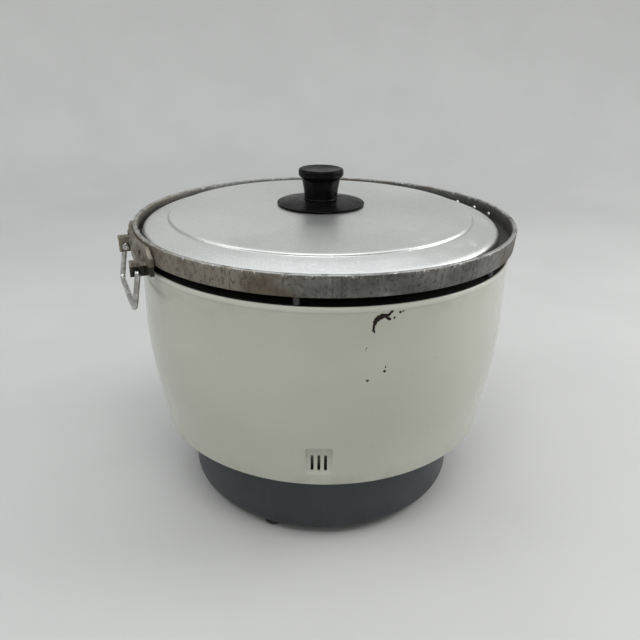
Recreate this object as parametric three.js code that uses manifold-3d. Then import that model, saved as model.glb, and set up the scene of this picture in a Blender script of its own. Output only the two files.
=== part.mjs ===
// Commercial gas rice cooker: a loose aluminium lid on a lift-out aluminium pot, the pot standing by six
// pegs on the rolled lip of a bowl-shaped enamelled shell, the shell on a painted base pan that holds the
// burner, the gas valve and the control box. Millimetres, +Z up, origin on the floor under the pot's axis,
// wire handles on +X and -X, control box on -Y.
import * as THREE from 'three';
import Module from 'manifold-3d';
import { mergeVertices } from 'three/addons/utils/BufferGeometryUtils.js';

const wasm = await Module();
wasm.setup();

// ---------------------------------------------------------------- driving dimensions
const RIM_RADIUS = 240;          // outside of the pot's cast rim ring
const RIM_TOP = 370;             // height of the rim above the floor
const RIM_HEIGHT = 24.7;
const RIM_WALL = 5.8;
const EXHAUST_GAP = 10.7;        // between the shell's lip and the rim, held open by the pegs
const POT_WALL = 3.4;
const SHELL_BOTTOM = 109.5;      // height of the base under the shell
const FLAME_SPACE = 20.5;        // pot's bottom above the shell's bottom
const SHEET = 1.6;               // shell and base pan sheet
const THIN_SHEET = 1.2;          // heat shield, tray
const BASE_BOTTOM = 11.6;
const REST_GAP = 0.3;            // between pieces that rest on each other
const FIT_GAP = 0.3;             // round a shank or wire in its hole
const WIRE_RADIUS = 3.5;         // bail wire
const LID_SHIFT = [4.7, -2.7];   // the loose lid lies a little off centre
const BOX_HALF_WIDTH = 58;       // control box
const ROUND = 36;                // sides of the large turned pieces
const SMALL_ROUND = 12;          // sides of the small turned pieces
const WALL_STEPS = 6;            // facets up the shell's wall

// ---------------------------------------------------------------- derived sizes
const RIM_BOTTOM = RIM_TOP - RIM_HEIGHT;
const LEDGE = RIM_BOTTOM + 6.2;               // the lid stands on it, inside the rim
const RIM_INSIDE = RIM_RADIUS - RIM_WALL;
const POT_FLOOR = SHELL_BOTTOM + FLAME_SPACE; // outside bottom of the pot
const BOWL_RADIUS = RIM_RADIUS - 34;          // outside of the pot's bowl
const RING_JOINT = BOWL_RADIUS + 4.6;         // where the bowl's flange meets the rim ring
const PEG_CIRCLE = RIM_RADIUS - 11;
const LINER_RADIUS = BOWL_RADIUS + 6.2;       // outside of the heat shield round the pot
const LIP_TOP = RIM_BOTTOM - EXHAUST_GAP;     // top of the shell's rolled lip
const LIP_RADIUS = RIM_RADIUS - 5.5;
const LIP_INSIDE = LINER_RADIUS + 1.2;
const WALL_TOP = LIP_TOP - 7.6;               // where the shell's wall turns out into the lip
const WALL_FOOT = LIP_RADIUS - 14.1;          // outside of the shell at its lower bend
const BASE_RADIUS = RIM_RADIUS - 54.4;        // outside of the base pan at its top
const PAN_RING_INSIDE = BASE_RADIUS - 35.6;
const PAN_FLANGE_INSIDE = BASE_RADIUS - 27.6;
const SHELL_HOLE = BASE_RADIUS - 20.6;
const SHELL_FLOOR = SHELL_BOTTOM + SHEET;
const FLANGE_TOP = SHELL_BOTTOM - REST_GAP;   // top of the base pan's flange
const PAN_FLOOR = BASE_BOTTOM + SHEET;
const SCREW_CIRCLE = BASE_RADIUS - 14;
const FOOT_CIRCLE = BASE_RADIUS - 22;
const PLATE_INSIDE = RIM_RADIUS + FIT_GAP;    // bracket plate, riveted to the rim
const PLATE_OUTSIDE = PLATE_INSIDE + 4.3;
const HINGE = { x: RIM_RADIUS + 6.7, z: RIM_TOP - 32.4, legY: 56.4 };
const EAR = {
  root: RIM_RADIUS - 15,
  tip: RIM_RADIUS + 14.4,
  inner: 47.3,
  outer: 59.2,
  web: 4,
  top: RIM_TOP - 20.5,
  bottom: RIM_TOP - 38.7,
};
const RIVET = { z: LEDGE + 5.5, shank: 2.4, spread: 9.25 };   // spread: degrees between rivets
const LID_EDGE = RIM_TOP - 7.5;
const LID_RADIUS = RIM_INSIDE - 9.6;
const LID_CROWN = RIM_TOP + 12.2;
const BURNER_Z = SHELL_BOTTOM - 23.5;         // axis of the mixing tube
const BRIDGE_TOP = BURNER_Z - 6;
const RING = { inside: 40, outside: 76 };     // burner casting
const PIN_CIRCLE = RING.outside + 4.5;        // spark electrode and thermocouple, 45 degrees round
const PIN_SPREAD = 7;
const PIN_LUG = 4;                            // thickness of the burner's lug under them
const SENSOR = { bore: 5.2, tube: 7 };        // guide tube of the pot sensor
const TUBE_MOUTH = -(BASE_RADIUS - 37.6);
const BOX_FRONT = -(BASE_RADIUS + 40.4);
const BOX_BOTTOM = BASE_BOTTOM + 5.4;
const BOX_SCREW = { x: BOX_HALF_WIDTH - 12, z: BOX_BOTTOM + 10, shank: 1.8 };
const PIVOT = { y: BOX_FRONT + 15, z: BURNER_Z - 8, radius: 2.5 };   // lever pin
const LUG = { inner: 17, outer: 21 };                                // carry the lever pin
const STEM = { z: PIVOT.z - 16, radius: 2.5 };
const VALVE = {
  half: 18,
  front: BOX_FRONT + 29,
  back: BOX_FRONT + 68,
  bottom: BURNER_Z - 36,
  top: BURNER_Z + 10,
};
const HOSE = { y: VALVE.front + 6, z: BURNER_Z - 14, radius: 6 };
const BUTTON = { x: -(LUG.outer + BOX_HALF_WIDTH - 3) / 2, z: PIVOT.z, radius: 7 };

const rad = THREE.MathUtils.degToRad;
const group = new THREE.Group();
group.name = 'gas_rice_cooker';

// ---------------------------------------------------------------- helpers
function toSolid(geometry) {
  const bare = geometry.clone();
  for (const name of ['normal', 'uv', 'uv1']) bare.deleteAttribute(name);
  const merged = mergeVertices(bare.index ? bare.toNonIndexed() : bare, 1e-4);
  return new wasm.Manifold(new wasm.Mesh({
    numProp: 3,
    vertProperties: new Float32Array(merged.attributes.position.array),
    triVerts: new Uint32Array(merged.index.array),
  }));
}

function toGeometry(solid) {
  const mesh = solid.getMesh();
  const geometry = new THREE.BufferGeometry();
  geometry.setAttribute('position', new THREE.BufferAttribute(new Float32Array(mesh.vertProperties), 3));
  geometry.setIndex(new THREE.BufferAttribute(new Uint32Array(mesh.triVerts), 1));
  geometry.computeVertexNormals();
  return geometry;
}

// Profile of [radius, height] pairs spun about Z; it starts and ends on the axis or closes on itself.
function turned(profile, sides = ROUND) {
  const points = profile.map(([r, z]) => new THREE.Vector2(r, z));
  const onAxis = points[0].x === 0 && points[points.length - 1].x === 0;
  if (!onAxis) points.push(points[0].clone());
  const lathe = new THREE.LatheGeometry(points, sides).rotateX(Math.PI / 2);
  const solid = toSolid(lathe);
  return solid.volume() > 0 ? solid : toSolid(flipped(lathe));
}

function flipped(geometry) {
  const flat = geometry.index ? geometry.toNonIndexed() : geometry.clone();
  const p = flat.attributes.position;
  for (let i = 0; i < p.count; i += 3) {
    const second = [p.getX(i + 1), p.getY(i + 1), p.getZ(i + 1)];
    p.setXYZ(i + 1, p.getX(i + 2), p.getY(i + 2), p.getZ(i + 2));
    p.setXYZ(i + 2, ...second);
  }
  return flat;
}

// Points of a quarter arc from start to end round the corner point where the two straight runs meet.
function rounded(start, corner, end, steps = 4) {
  const curve = new THREE.QuadraticBezierCurve(
    new THREE.Vector2(...start), new THREE.Vector2(...corner), new THREE.Vector2(...end));
  return curve.getPoints(steps).map((v) => [v.x, v.y]);
}

function box(x0, x1, y0, y1, z0, z1) {
  const geometry = new THREE.BoxGeometry(x1 - x0, y1 - y0, z1 - z0);
  return toSolid(geometry.translate((x0 + x1) / 2, (y0 + y1) / 2, (z0 + z1) / 2));
}

// Cylinder of the given radius between two points.
function rod(radius, from, to, sides = SMALL_ROUND) {
  const a = new THREE.Vector3(...from);
  const b = new THREE.Vector3(...to);
  const geometry = new THREE.CylinderGeometry(radius, radius, a.distanceTo(b), sides);
  const direction = b.clone().sub(a).normalize();
  const turn = new THREE.Quaternion().setFromUnitVectors(new THREE.Vector3(0, 1, 0), direction);
  geometry.applyQuaternion(turn);
  const middle = a.add(b).multiplyScalar(0.5);
  return toSolid(geometry.translate(middle.x, middle.y, middle.z));
}

// Flat outline of [across, up] pairs pushed along an axis between two places.
function prism(outline, axis, from, to) {
  const shape = new THREE.Shape(outline.map(([a, b]) => new THREE.Vector2(a, b)));
  const geometry = new THREE.ExtrudeGeometry(shape, { depth: to - from, bevelEnabled: false });
  if (axis === 'x') geometry.rotateX(Math.PI / 2).rotateZ(Math.PI / 2);
  if (axis === 'y') geometry.rotateX(Math.PI / 2).translate(0, from + to, 0);
  const offset = { x: [from, 0, 0], y: [0, -from, 0], z: [0, 0, from] }[axis];
  return toSolid(geometry.translate(...offset));
}

// Round bar swept along a curve, both ends closed.
function swept(curve, radius, steps, sides) {
  const shape = new THREE.Shape();
  shape.absarc(0, 0, radius, 0, 2 * Math.PI, false);
  const settings = { steps, curveSegments: sides, extrudePath: curve, bevelEnabled: false };
  return toSolid(new THREE.ExtrudeGeometry(shape, settings));
}

// The same solid turned about Z and moved.
function placed(solid, degrees, move = [0, 0, 0]) {
  return solid.rotate([0, 0, degrees]).translate(move);
}

function around(count, start = 0) {
  return Array.from({ length: count }, (_, i) => start + (360 / count) * i);
}

function joined(solids) {
  return solids.reduce((whole, piece) => whole.add(piece));
}

function cut(solid, tools) {
  return tools.reduce((rest, tool) => rest.subtract(tool), solid);
}

function onCircle(radius, degrees, z) {
  return [radius * Math.cos(rad(degrees)), radius * Math.sin(rad(degrees)), z];
}

const PAINT = { roughness: 0.25, metalness: 0 };
const FINISH = {
  enamel: { color: 0xd8d9cb, ...PAINT },
  slate: { color: 0x5c6875, roughness: 0.4, metalness: 0 },
  castAluminium: { color: 0x6f6e68, roughness: 0.55, metalness: 0.85 },
  spunAluminium: { color: 0xb4b6b1, roughness: 0.35, metalness: 0.9 },
  bracket: { color: 0x7a746c, roughness: 0.55, metalness: 0.8 },
  wire: { color: 0x9a9b98, roughness: 0.3, metalness: 1 },
  bright: { color: 0xc9cac6, roughness: 0.25, metalness: 1 },
  bakelite: { color: 0x121212, roughness: 0.35, metalness: 0 },
  rubber: { color: 0x1b1b1b, roughness: 0.8, metalness: 0 },
  sheet: { color: 0x8d8f8f, roughness: 0.45, metalness: 0.9 },
  castIron: { color: 0x2e2c2a, roughness: 0.8, metalness: 0.5 },
  brass: { color: 0xb08d4a, roughness: 0.35, metalness: 1 },
  ceramic: { color: 0xe6e1d6, roughness: 0.5, metalness: 0 },
  red: { color: 0xa3261f, roughness: 0.4, metalness: 0 },
};

function add(name, solid, finish) {
  const mesh = new THREE.Mesh(toGeometry(solid), new THREE.MeshStandardMaterial(FINISH[finish]));
  mesh.name = name;
  group.add(mesh);
}

// ---------------------------------------------------------------- shell
// Outside line of the shell wall: share of the wall's height, and how far inside the lip it is there.
const BOWL_SHAPE = [
  [0, LIP_RADIUS - WALL_FOOT], [0.196, 8.7], [0.406, 2.9], [0.618, 0.3], [0.828, 0.8], [1, 0.9],
];

function shellWall(inset) {
  const low = SHELL_BOTTOM + 3;
  const height = WALL_TOP - low;
  const line = new THREE.SplineCurve(
    BOWL_SHAPE.map(([share, inside]) => new THREE.Vector2(LIP_RADIUS - inside, low + share * height)));
  return line.getPoints(WALL_STEPS).map((v) => [v.x - inset, v.y]);
}

function shellProfile() {
  const outside = shellWall(0);
  const inside = shellWall(SHEET).reverse();
  const lipSlope = 4.5;
  const rollBottom = LIP_TOP - 9.6;
  return [
    [SHELL_HOLE, SHELL_BOTTOM],
    ...rounded([WALL_FOOT - 3.6, SHELL_BOTTOM], [WALL_FOOT - 0.4, SHELL_BOTTOM], outside[0], 2),
    ...outside.slice(1),
    [LIP_RADIUS, WALL_TOP + 2.6],
    ...rounded([LIP_RADIUS, LIP_TOP - 3.6], [LIP_RADIUS, LIP_TOP], [LIP_RADIUS - lipSlope, LIP_TOP], 2),
    [LIP_INSIDE, LIP_TOP],
    [LIP_INSIDE, rollBottom],
    [LIP_INSIDE + SHEET, rollBottom],
    [LIP_INSIDE + SHEET, LIP_TOP - SHEET],
    [LIP_RADIUS - lipSlope, LIP_TOP - SHEET],
    [LIP_RADIUS - SHEET, LIP_TOP - 3.6],
    ...inside.slice(0, -1),
    [WALL_FOOT - SHEET - 1.8, SHELL_FLOOR],
    [SHELL_HOLE, SHELL_FLOOR],
  ];
}

function wallRadius(z) {
  const points = shellWall(0);
  const i = points.findIndex((point) => point[1] >= z);
  const [[r0, z0], [r1, z1]] = [points[i - 1], points[i]];
  return r0 + ((r1 - r0) * (z - z0)) / (z1 - z0);
}

// Observation vent pressed into the wall at the back: a flat-backed dimple with three upright slots.
const VENT = {
  azimuth: 66,
  z: SHELL_BOTTOM + 35.5,
  depth: 4.1,
  halfWidth: 16,
  halfHeight: 19.5,
  corner: 4,
  wall: 1.8,
};
const VENT_BACK = wallRadius(VENT.z) - VENT.depth;
const SLOT = { radius: 1.7, reach: 8.8, pitch: 7.5, z: VENT.z - 4.5 };

function ventBlock(grow, from, to) {
  const w = VENT.halfWidth + grow;
  const h = VENT.halfHeight + grow;
  const c = VENT.corner + grow;
  const outline = [
    ...rounded([-w, -h + c], [-w, -h], [-w + c, -h], 3),
    ...rounded([w - c, -h], [w, -h], [w, -h + c], 3),
    ...rounded([w, h - c], [w, h], [w - c, h], 3),
    ...rounded([-w + c, h], [-w, h], [-w, h - c], 3),
  ];
  return prism(outline, 'x', from, to).translate([0, 0, VENT.z]);
}

function ventSlots() {
  const from = VENT_BACK - 6;
  const to = VENT_BACK + 3;
  return [-1, 0, 1].map((i) => {
    const y = SLOT.pitch * i;
    const ends = [SLOT.z - SLOT.reach, SLOT.z + SLOT.reach];
    const rods = ends.map((end) => rod(SLOT.radius, [from, y, end], [to, y, end], 12));
    return joined([box(from, to, y - SLOT.radius, y + SLOT.radius, ...ends), ...rods]);
  });
}

// Four screw holes up through the base pan's flange and the shell's floor.
function screwHoles() {
  const low = FLANGE_TOP - 10;
  const high = SHELL_FLOOR + 10;
  return around(4, 45).map((a) => rod(2.4, onCircle(SCREW_CIRCLE, a, low), onCircle(SCREW_CIRCLE, a, high)));
}

function shell() {
  const filled = turned([[0, SHELL_BOTTOM], ...shellProfile().slice(1, WALL_STEPS + 4), [0, WALL_TOP]]);
  const outOfWall = RIM_RADIUS + 10;
  const toVent = (solid) => placed(solid, VENT.azimuth);
  const lining = toVent(ventBlock(VENT.wall, VENT_BACK - VENT.wall, outOfWall));
  const tools = [ventBlock(0, VENT_BACK, outOfWall), ...ventSlots()].map(toVent);
  const wall = turned(shellProfile()).add(lining.intersect(filled));
  add('outer_shell', cut(wall, [...tools, ...screwHoles()]), 'enamel');
}

function liner() {
  const bottom = SHELL_FLOOR + REST_GAP;
  const top = LIP_TOP - 12.6;
  const inside = LINER_RADIUS - THIN_SHEET;
  const foot = inside - 12;
  add('heat_shield', turned([
    [foot, bottom], [LINER_RADIUS, bottom], [LINER_RADIUS, top], [inside, top],
    [inside, bottom + THIN_SHEET], [foot, bottom + THIN_SHEET],
  ]), 'sheet');
}

function tray() {
  const bottom = SHELL_FLOOR + REST_GAP;
  const inner = RING.outside + 10;
  const outer = LINER_RADIUS - THIN_SHEET - 14.5;
  const outerTop = bottom + 5;
  const innerTop = bottom + 6;
  add('drip_tray', turned([
    [inner, bottom], [outer, bottom], [outer, outerTop], [outer - THIN_SHEET, outerTop],
    [outer - THIN_SHEET, bottom + THIN_SHEET], [inner + THIN_SHEET, bottom + THIN_SHEET],
    [inner + THIN_SHEET, innerTop], [inner, innerTop],
  ]), 'sheet');
}

// ---------------------------------------------------------------- base
// Painted pressing: a ring at the bottom for the feet, a slightly tapered wall, a flange under the shell.
function basePan() {
  const wallLow = [BASE_RADIUS - 1.9, BASE_BOTTOM + 20.4];
  const bend = [[BASE_RADIUS - 7.1, 0], [BASE_RADIUS - 4, 1.6], [BASE_RADIUS - 2.6, 5.4]];
  const insideRadius = BASE_RADIUS - 2.6 - SHEET;
  const insideBend = [[insideRadius, 7], [insideRadius - 1.4, 3], [insideRadius - 3.8, SHEET]];
  const fromBottom = ([r, z]) => [r, BASE_BOTTOM + z];
  const profile = [
    [PAN_RING_INSIDE, BASE_BOTTOM],
    ...bend.map(fromBottom),
    wallLow,
    [BASE_RADIUS, FLANGE_TOP - 1.2],
    [BASE_RADIUS - 1, FLANGE_TOP],
    [PAN_FLANGE_INSIDE, FLANGE_TOP],
    [PAN_FLANGE_INSIDE, FLANGE_TOP - SHEET],
    [BASE_RADIUS - SHEET - 0.2, FLANGE_TOP - SHEET],
    [wallLow[0] - SHEET, wallLow[1]],
    ...insideBend.map(fromBottom),
    [PAN_RING_INSIDE, PAN_FLOOR],
  ];
  const side = VALVE.half + 12;
  const window = box(-side, side, -BASE_RADIUS - 15, -PAN_RING_INSIDE, VALVE.bottom - 6, VALVE.top + 6);
  const footHoles = around(4, 45).map((a) => (
    rod(3.1, onCircle(FOOT_CIRCLE, a, 0), onCircle(FOOT_CIRCLE, a, PAN_FLOOR + 5))));
  add('base_pan', cut(turned(profile), [window, ...footHoles, ...screwHoles()]), 'slate');
}

function feet() {
  const top = BASE_BOTTOM - REST_GAP;
  const neck = 2.8;
  const foot = turned([
    [0, 0], [10, 0], [12, 2], [11.2, top], [neck, top], [neck, PAN_FLOOR + REST_GAP],
    [neck + 1.4, PAN_FLOOR + 0.6], [neck - 0.4, PAN_FLOOR + 4.5], [0, PAN_FLOOR + 4.5],
  ], SMALL_ROUND);
  around(4, 45).forEach((a, i) => add(`foot_${i + 1}`, foot.translate(onCircle(FOOT_CIRCLE, a, 0)), 'rubber'));
}

function shellScrews() {
  const headTop = FLANGE_TOP - SHEET - REST_GAP;
  const head = 4.2;
  const shank = 2;
  const screw = turned([
    [0, headTop - 2.6], [head - 1.2, headTop - 2.6], [head, headTop - 1.4], [head, headTop], [shank, headTop],
    [shank, SHELL_FLOOR], [0, SHELL_FLOOR],
  ], SMALL_ROUND);
  around(4, 45).forEach((a, i) => (
    add(`shell_screw_${i + 1}`, screw.translate(onCircle(SCREW_CIRCLE, a, 0)), 'bright')));
}

// ---------------------------------------------------------------- burner
// Bent strap across the base pan's ring that carries the burner and the pot sensor.
function burnerBridge() {
  const strap = 2.4;
  const low = PAN_FLOOR + REST_GAP;
  const shoulder = RING.outside + 6;
  const foot = { inner: BASE_RADIUS - 38.6, outer: BASE_RADIUS - 13.6 };
  const right = [
    [shoulder, BRIDGE_TOP - strap], [foot.inner, low], [foot.outer, low],
    [foot.outer, low + strap], [foot.inner + 1, low + strap], [shoulder + 1, BRIDGE_TOP],
  ];
  const outline = [...right, ...right.map(([x, z]) => [-x, z]).reverse()];
  const hole = rod(SENSOR.tube + 0.6, [0, 0, BRIDGE_TOP - 10], [0, 0, BRIDGE_TOP + 10]);
  add('burner_bridge', prism(outline, 'y', -18, 18).subtract(hole), 'sheet');
}

function burner() {
  const bottom = BRIDGE_TOP + REST_GAP;
  const top = BURNER_Z + 12;
  const { inside, outside } = RING;
  const ring = turned([
    [inside, bottom], [outside - 4, bottom], [outside, bottom + 6], [outside, top - 3], [outside - 3, top],
    [inside + 3, top], [inside, top - 3],
  ], 32);
  const along = (radius, from, to) => rod(radius, [0, from, BURNER_Z], [0, to, BURNER_Z], 16);
  const tubeStart = -(outside - 16);
  const tube = along(12, tubeStart, TUBE_MOUTH);
  const flare = along(15, TUBE_MOUTH + 10, TUBE_MOUTH);
  const bore = along(9.5, tubeStart - 4, TUBE_MOUTH - 5);
  const lug = placed(box(outside - 6, outside + 14, -13, 13, bottom, bottom + PIN_LUG), 45);
  const lugHoles = [[-PIN_SPREAD, 3.3], [PIN_SPREAD, 2.8]].map(([y, r]) => (
    placed(rod(r, [PIN_CIRCLE, y, bottom - 10], [PIN_CIRCLE, y, bottom + 20]), 45)));
  add('burner_casting', cut(joined([ring, tube, flare, lug]), [bore, ...lugHoles]), 'castIron');

  const capBottom = top + REST_GAP;
  const capTop = capBottom + 8;
  const cap = turned([
    [inside + 3, capBottom], [outside - 3, capBottom], [outside - 3, capTop - 3], [outside - 8, capTop],
    [inside + 3, capTop],
  ], 32);
  const port = box(outside - 7, outside, -1.2, 1.2, capBottom + 1.5, capBottom + 4);
  const ports = around(12).map((a) => placed(port, a));
  add('burner_cap', cut(cap, ports), 'castIron');
}

// Spark electrode and thermocouple, each with a collar standing on the burner's lug.
function igniterPins() {
  const seat = BRIDGE_TOP + REST_GAP + PIN_LUG + REST_GAP;
  const electrode = turned([
    [0, seat - 12], [2.9, seat - 12], [2.9, seat], [4.4, seat], [4.4, seat + 3], [2.9, seat + 3],
    [2.9, seat + 16], [1, seat + 17], [1, seat + 24], [0, seat + 24],
  ], 10);
  const thermocouple = turned([
    [0, seat - 16], [2.4, seat - 16], [2.4, seat], [3.6, seat], [3.6, seat + 4], [2.4, seat + 4],
    [2.4, seat + 18], [1.4, seat + 21], [0, seat + 21],
  ], 10);
  add('spark_electrode', placed(electrode.translate([PIN_CIRCLE, -PIN_SPREAD, 0]), 45), 'ceramic');
  add('thermocouple', placed(thermocouple.translate([PIN_CIRCLE, PIN_SPREAD, 0]), 45), 'brass');
}

// Spring-loaded feeler that presses on the pot's bottom through the middle of the burner.
function potSensor() {
  const flange = BRIDGE_TOP + REST_GAP;
  const collar = POT_FLOOR - 29;
  const collarTop = collar + 2.4;
  const { bore, tube } = SENSOR;
  add('sensor_tube', turned([
    [bore, BRIDGE_TOP - 20], [tube, BRIDGE_TOP - 20], [tube, flange], [13, flange], [13, flange + 1.8],
    [tube, flange + 1.8], [tube, collar], [10, collar], [10, collarTop], [bore, collarTop],
  ], SMALL_ROUND), 'sheet');

  const top = POT_FLOOR - REST_GAP;
  const cap = 13;
  const capBottom = top - 11;
  const stem = bore - 0.5;
  const stemBottom = POT_FLOOR - 44;
  add('sensor_head', turned([
    [0, stemBottom], [stem, stemBottom], [stem, capBottom], [cap - 2, capBottom], [cap, capBottom + 2],
    [cap, top - 1.5], [cap - 1.5, top], [0, top],
  ], SMALL_ROUND), 'bright');

  const coil = { radius: 8.3, wire: 0.8, turns: 4, low: collarTop + 1.2, high: capBottom - 1.2 };
  class Coil extends THREE.Curve {
    getPoint(t, target = new THREE.Vector3()) {
      const angle = 2 * Math.PI * coil.turns * t;
      const z = coil.low + (coil.high - coil.low) * t;
      return target.set(coil.radius * Math.cos(angle), coil.radius * Math.sin(angle), z);
    }
  }
  add('sensor_spring', swept(new Coil(), coil.wire, 44, 2), 'bright');
}

// ---------------------------------------------------------------- gas valve and control box
function gasValve() {
  const body = box(-VALVE.half, VALVE.half, VALVE.front, VALVE.back, VALVE.bottom, VALVE.top);
  const bore = rod(STEM.radius + 0.4, [0, VALVE.front - 1, STEM.z], [0, VALVE.front + 25, STEM.z]);
  add('valve_body', body.subtract(bore), 'castAluminium');
  add('valve_stem', rod(STEM.radius, [0, PIVOT.y + 4.3, STEM.z], [0, PIVOT.y + 31, STEM.z]), 'bright');

  const injector = turned([
    [0, 0], [7, 0], [7, 6], [4, 7], [3, 13], [0.8, 13], [0.8, 4], [0, 4],
  ], 12).rotate([-90, 0, 0]);
  add('injector', injector.translate([0, VALVE.back + REST_GAP, BURNER_Z]), 'brass');
  add('hose_nozzle', hoseNozzle().rotate([0, 90, 0]).translate([0, HOSE.y, HOSE.z]), 'brass');
}

// Nozzle from the valve through the box's side, barbed for the gas hose; lengths run along its axis.
function hoseNozzle() {
  const { radius } = HOSE;
  const neck = 5.2;
  const bore = 3;
  const nut = BOX_HALF_WIDTH + 0.4;
  const barbs = [8, 15, 22].map((step) => BOX_HALF_WIDTH + step).flatMap((x) => [[6.6, x], [neck, x + 5]]);
  const end = BOX_HALF_WIDTH + 32;
  const start = VALVE.half + REST_GAP;
  const boreEnd = BOX_HALF_WIDTH - 24;
  return turned([
    [0, start], [radius, start], [radius, nut], [9.5, nut], [9.5, nut + 4.6], [neck, nut + 4.6],
    ...barbs, [neck, end - 1], [neck - 0.8, end], [bore, end], [bore, boreEnd], [0, boreEnd],
  ], SMALL_ROUND);
}

function controlBox() {
  const wall = 2.5;
  const top = SHELL_BOTTOM - 6.5;
  const back = -PAN_RING_INSIDE;
  const w = BOX_HALF_WIDTH;
  const corner = 9;
  const outline = [
    [-w, back],
    ...rounded([-w, BOX_FRONT + corner], [-w, BOX_FRONT], [-w + corner, BOX_FRONT], 4),
    ...rounded([w - corner, BOX_FRONT], [w, BOX_FRONT], [w, BOX_FRONT + corner], 4),
    [w, back],
  ];
  const inner = box(-w + wall, w - wall, BOX_FRONT + wall, back + 10, BOX_BOTTOM + wall, top - wall);
  const panSide = rod(BASE_RADIUS + 0.6, [0, 0, 0], [0, 0, SHELL_BOTTOM + 10], ROUND);
  const hollow = cut(prism(outline, 'z', BOX_BOTTOM, top), [inner, panSide]);

  const lugs = [[LUG.inner, LUG.outer], [-LUG.outer, -LUG.inner]].map(([x0, x1]) => (
    box(x0, x1, BOX_FRONT + 1, PIVOT.y + 6, PIVOT.z - 5, PIVOT.z + 5)));
  const shelfTop = BUTTON.z - 7.8;
  const shelf = box(-w + 1, BUTTON.x + 9, BOX_FRONT + 17, BOX_FRONT + 36, shelfTop - 3.2, shelfTop);

  const throughFront = (radius, x, z) => rod(radius, [x, BOX_FRONT - 5, z], [x, BOX_FRONT + 5, z]);
  const holes = [
    box(-LUG.inner + 0.5, LUG.inner - 0.5, BOX_FRONT - 5, BOX_FRONT + wall + 1, PIVOT.z - 14, PIVOT.z + 5),
    throughFront(BUTTON.radius + 0.4, BUTTON.x, BUTTON.z),
    rod(HOSE.radius + 0.6, [w - 10, HOSE.y, HOSE.z], [w + 10, HOSE.y, HOSE.z]),
    rod(PIVOT.radius + FIT_GAP, [-LUG.outer - 9, PIVOT.y, PIVOT.z], [LUG.outer + 9, PIVOT.y, PIVOT.z]),
    ...[-1, 1].map((s) => throughFront(BOX_SCREW.shank + FIT_GAP, s * BOX_SCREW.x, BOX_SCREW.z)),
  ];
  add('control_box', cut(joined([hollow, ...lugs, shelf]), holes), 'slate');
}

function boxScrews() {
  const { shank } = BOX_SCREW;
  const head = { radius: 3.8, height: 2.2 };
  const screw = turned([
    [0, 0], [head.radius - 1.2, 0], [head.radius, 1], [head.radius, head.height], [shank, head.height],
    [shank, 12], [0, 12],
  ], SMALL_ROUND).rotate([-90, 0, 0]);
  const y = BOX_FRONT - head.height - REST_GAP;
  [-1, 1].forEach((s, i) => (
    add(`box_screw_${i + 1}`, screw.translate([s * BOX_SCREW.x, y, BOX_SCREW.z]), 'bright')));
}

// Paddle lever on a pin; its arm presses the valve's stem.
function cookLever() {
  const { y, z, radius } = PIVOT;
  const thick = 5;
  const half = LUG.inner - 2;
  const reach = 27;
  const alongPin = (r, from, to, sides) => rod(r, [-half, from, to], [half, from, to], sides);
  const hub = rod(6, [-half + 1, y, z], [half - 1, y, z]);
  const paddle = box(-half, half, y - reach, y - 3, z - thick / 2, z + thick / 2);
  const tip = alongPin(thick / 2, y - reach + 0.5, z, 16);
  const arm = box(-5, 5, y - 2, y + 3.4, STEM.z, z);
  const nose = rod(3, [-5, y + 1, STEM.z], [5, y + 1, STEM.z], 24);
  const bore = rod(radius + 0.4, [-20, y, z], [20, y, z]);
  add('cook_lever', joined([hub, paddle, tip, arm, nose]).subtract(bore), 'bakelite');
  add('lever_pin', rod(radius, [-LUG.outer - 1, y, z], [LUG.outer + 1, y, z]), 'bright');
}

function ignition() {
  const { x, z, radius } = BUTTON;
  const length = 17;
  const collar = { radius: radius + 1.6, from: 9.2, to: 11 };
  const button = turned([
    [0, 0], [radius - 1.4, 0], [radius, 1.4], [radius, collar.from], [collar.radius, collar.from],
    [collar.radius, collar.to], [radius - 1, collar.to], [radius - 1, length], [0, length],
  ], 16).rotate([-90, 0, 0]);
  add('spark_button', button.translate([x, BOX_FRONT - 6.4, z]), 'red');
  add('igniter', rod(radius + 0.4, [x, BOX_FRONT + 18, z], [x, BOX_FRONT + 39, z]), 'bakelite');
}

// ---------------------------------------------------------------- pot
// Bowl with a well rounded bottom edge and a short flange that reaches out to the rim ring.
function pot() {
  const inside = BOWL_RADIUS - POT_WALL;
  const corner = 52;
  const floor = POT_FLOOR + POT_WALL;
  add('inner_pot', turned([
    [0, floor],
    ...rounded([inside - corner, floor], [inside - 2, floor], [inside - 0.6, floor + corner], 4),
    [inside, LEDGE - 5],
    ...rounded([inside, LEDGE - 4], [inside, LEDGE], [inside + 4, LEDGE], 2),
    [RING_JOINT, LEDGE],
    [RING_JOINT, RIM_BOTTOM],
    [BOWL_RADIUS + 4, RIM_BOTTOM],
    [BOWL_RADIUS, RIM_BOTTOM - 4],
    ...rounded(
      [BOWL_RADIUS - 0.6, floor + corner], [BOWL_RADIUS - 2, POT_FLOOR], [inside - corner, POT_FLOOR], 4),
    [0, POT_FLOOR],
  ]), 'castAluminium');
}

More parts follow.
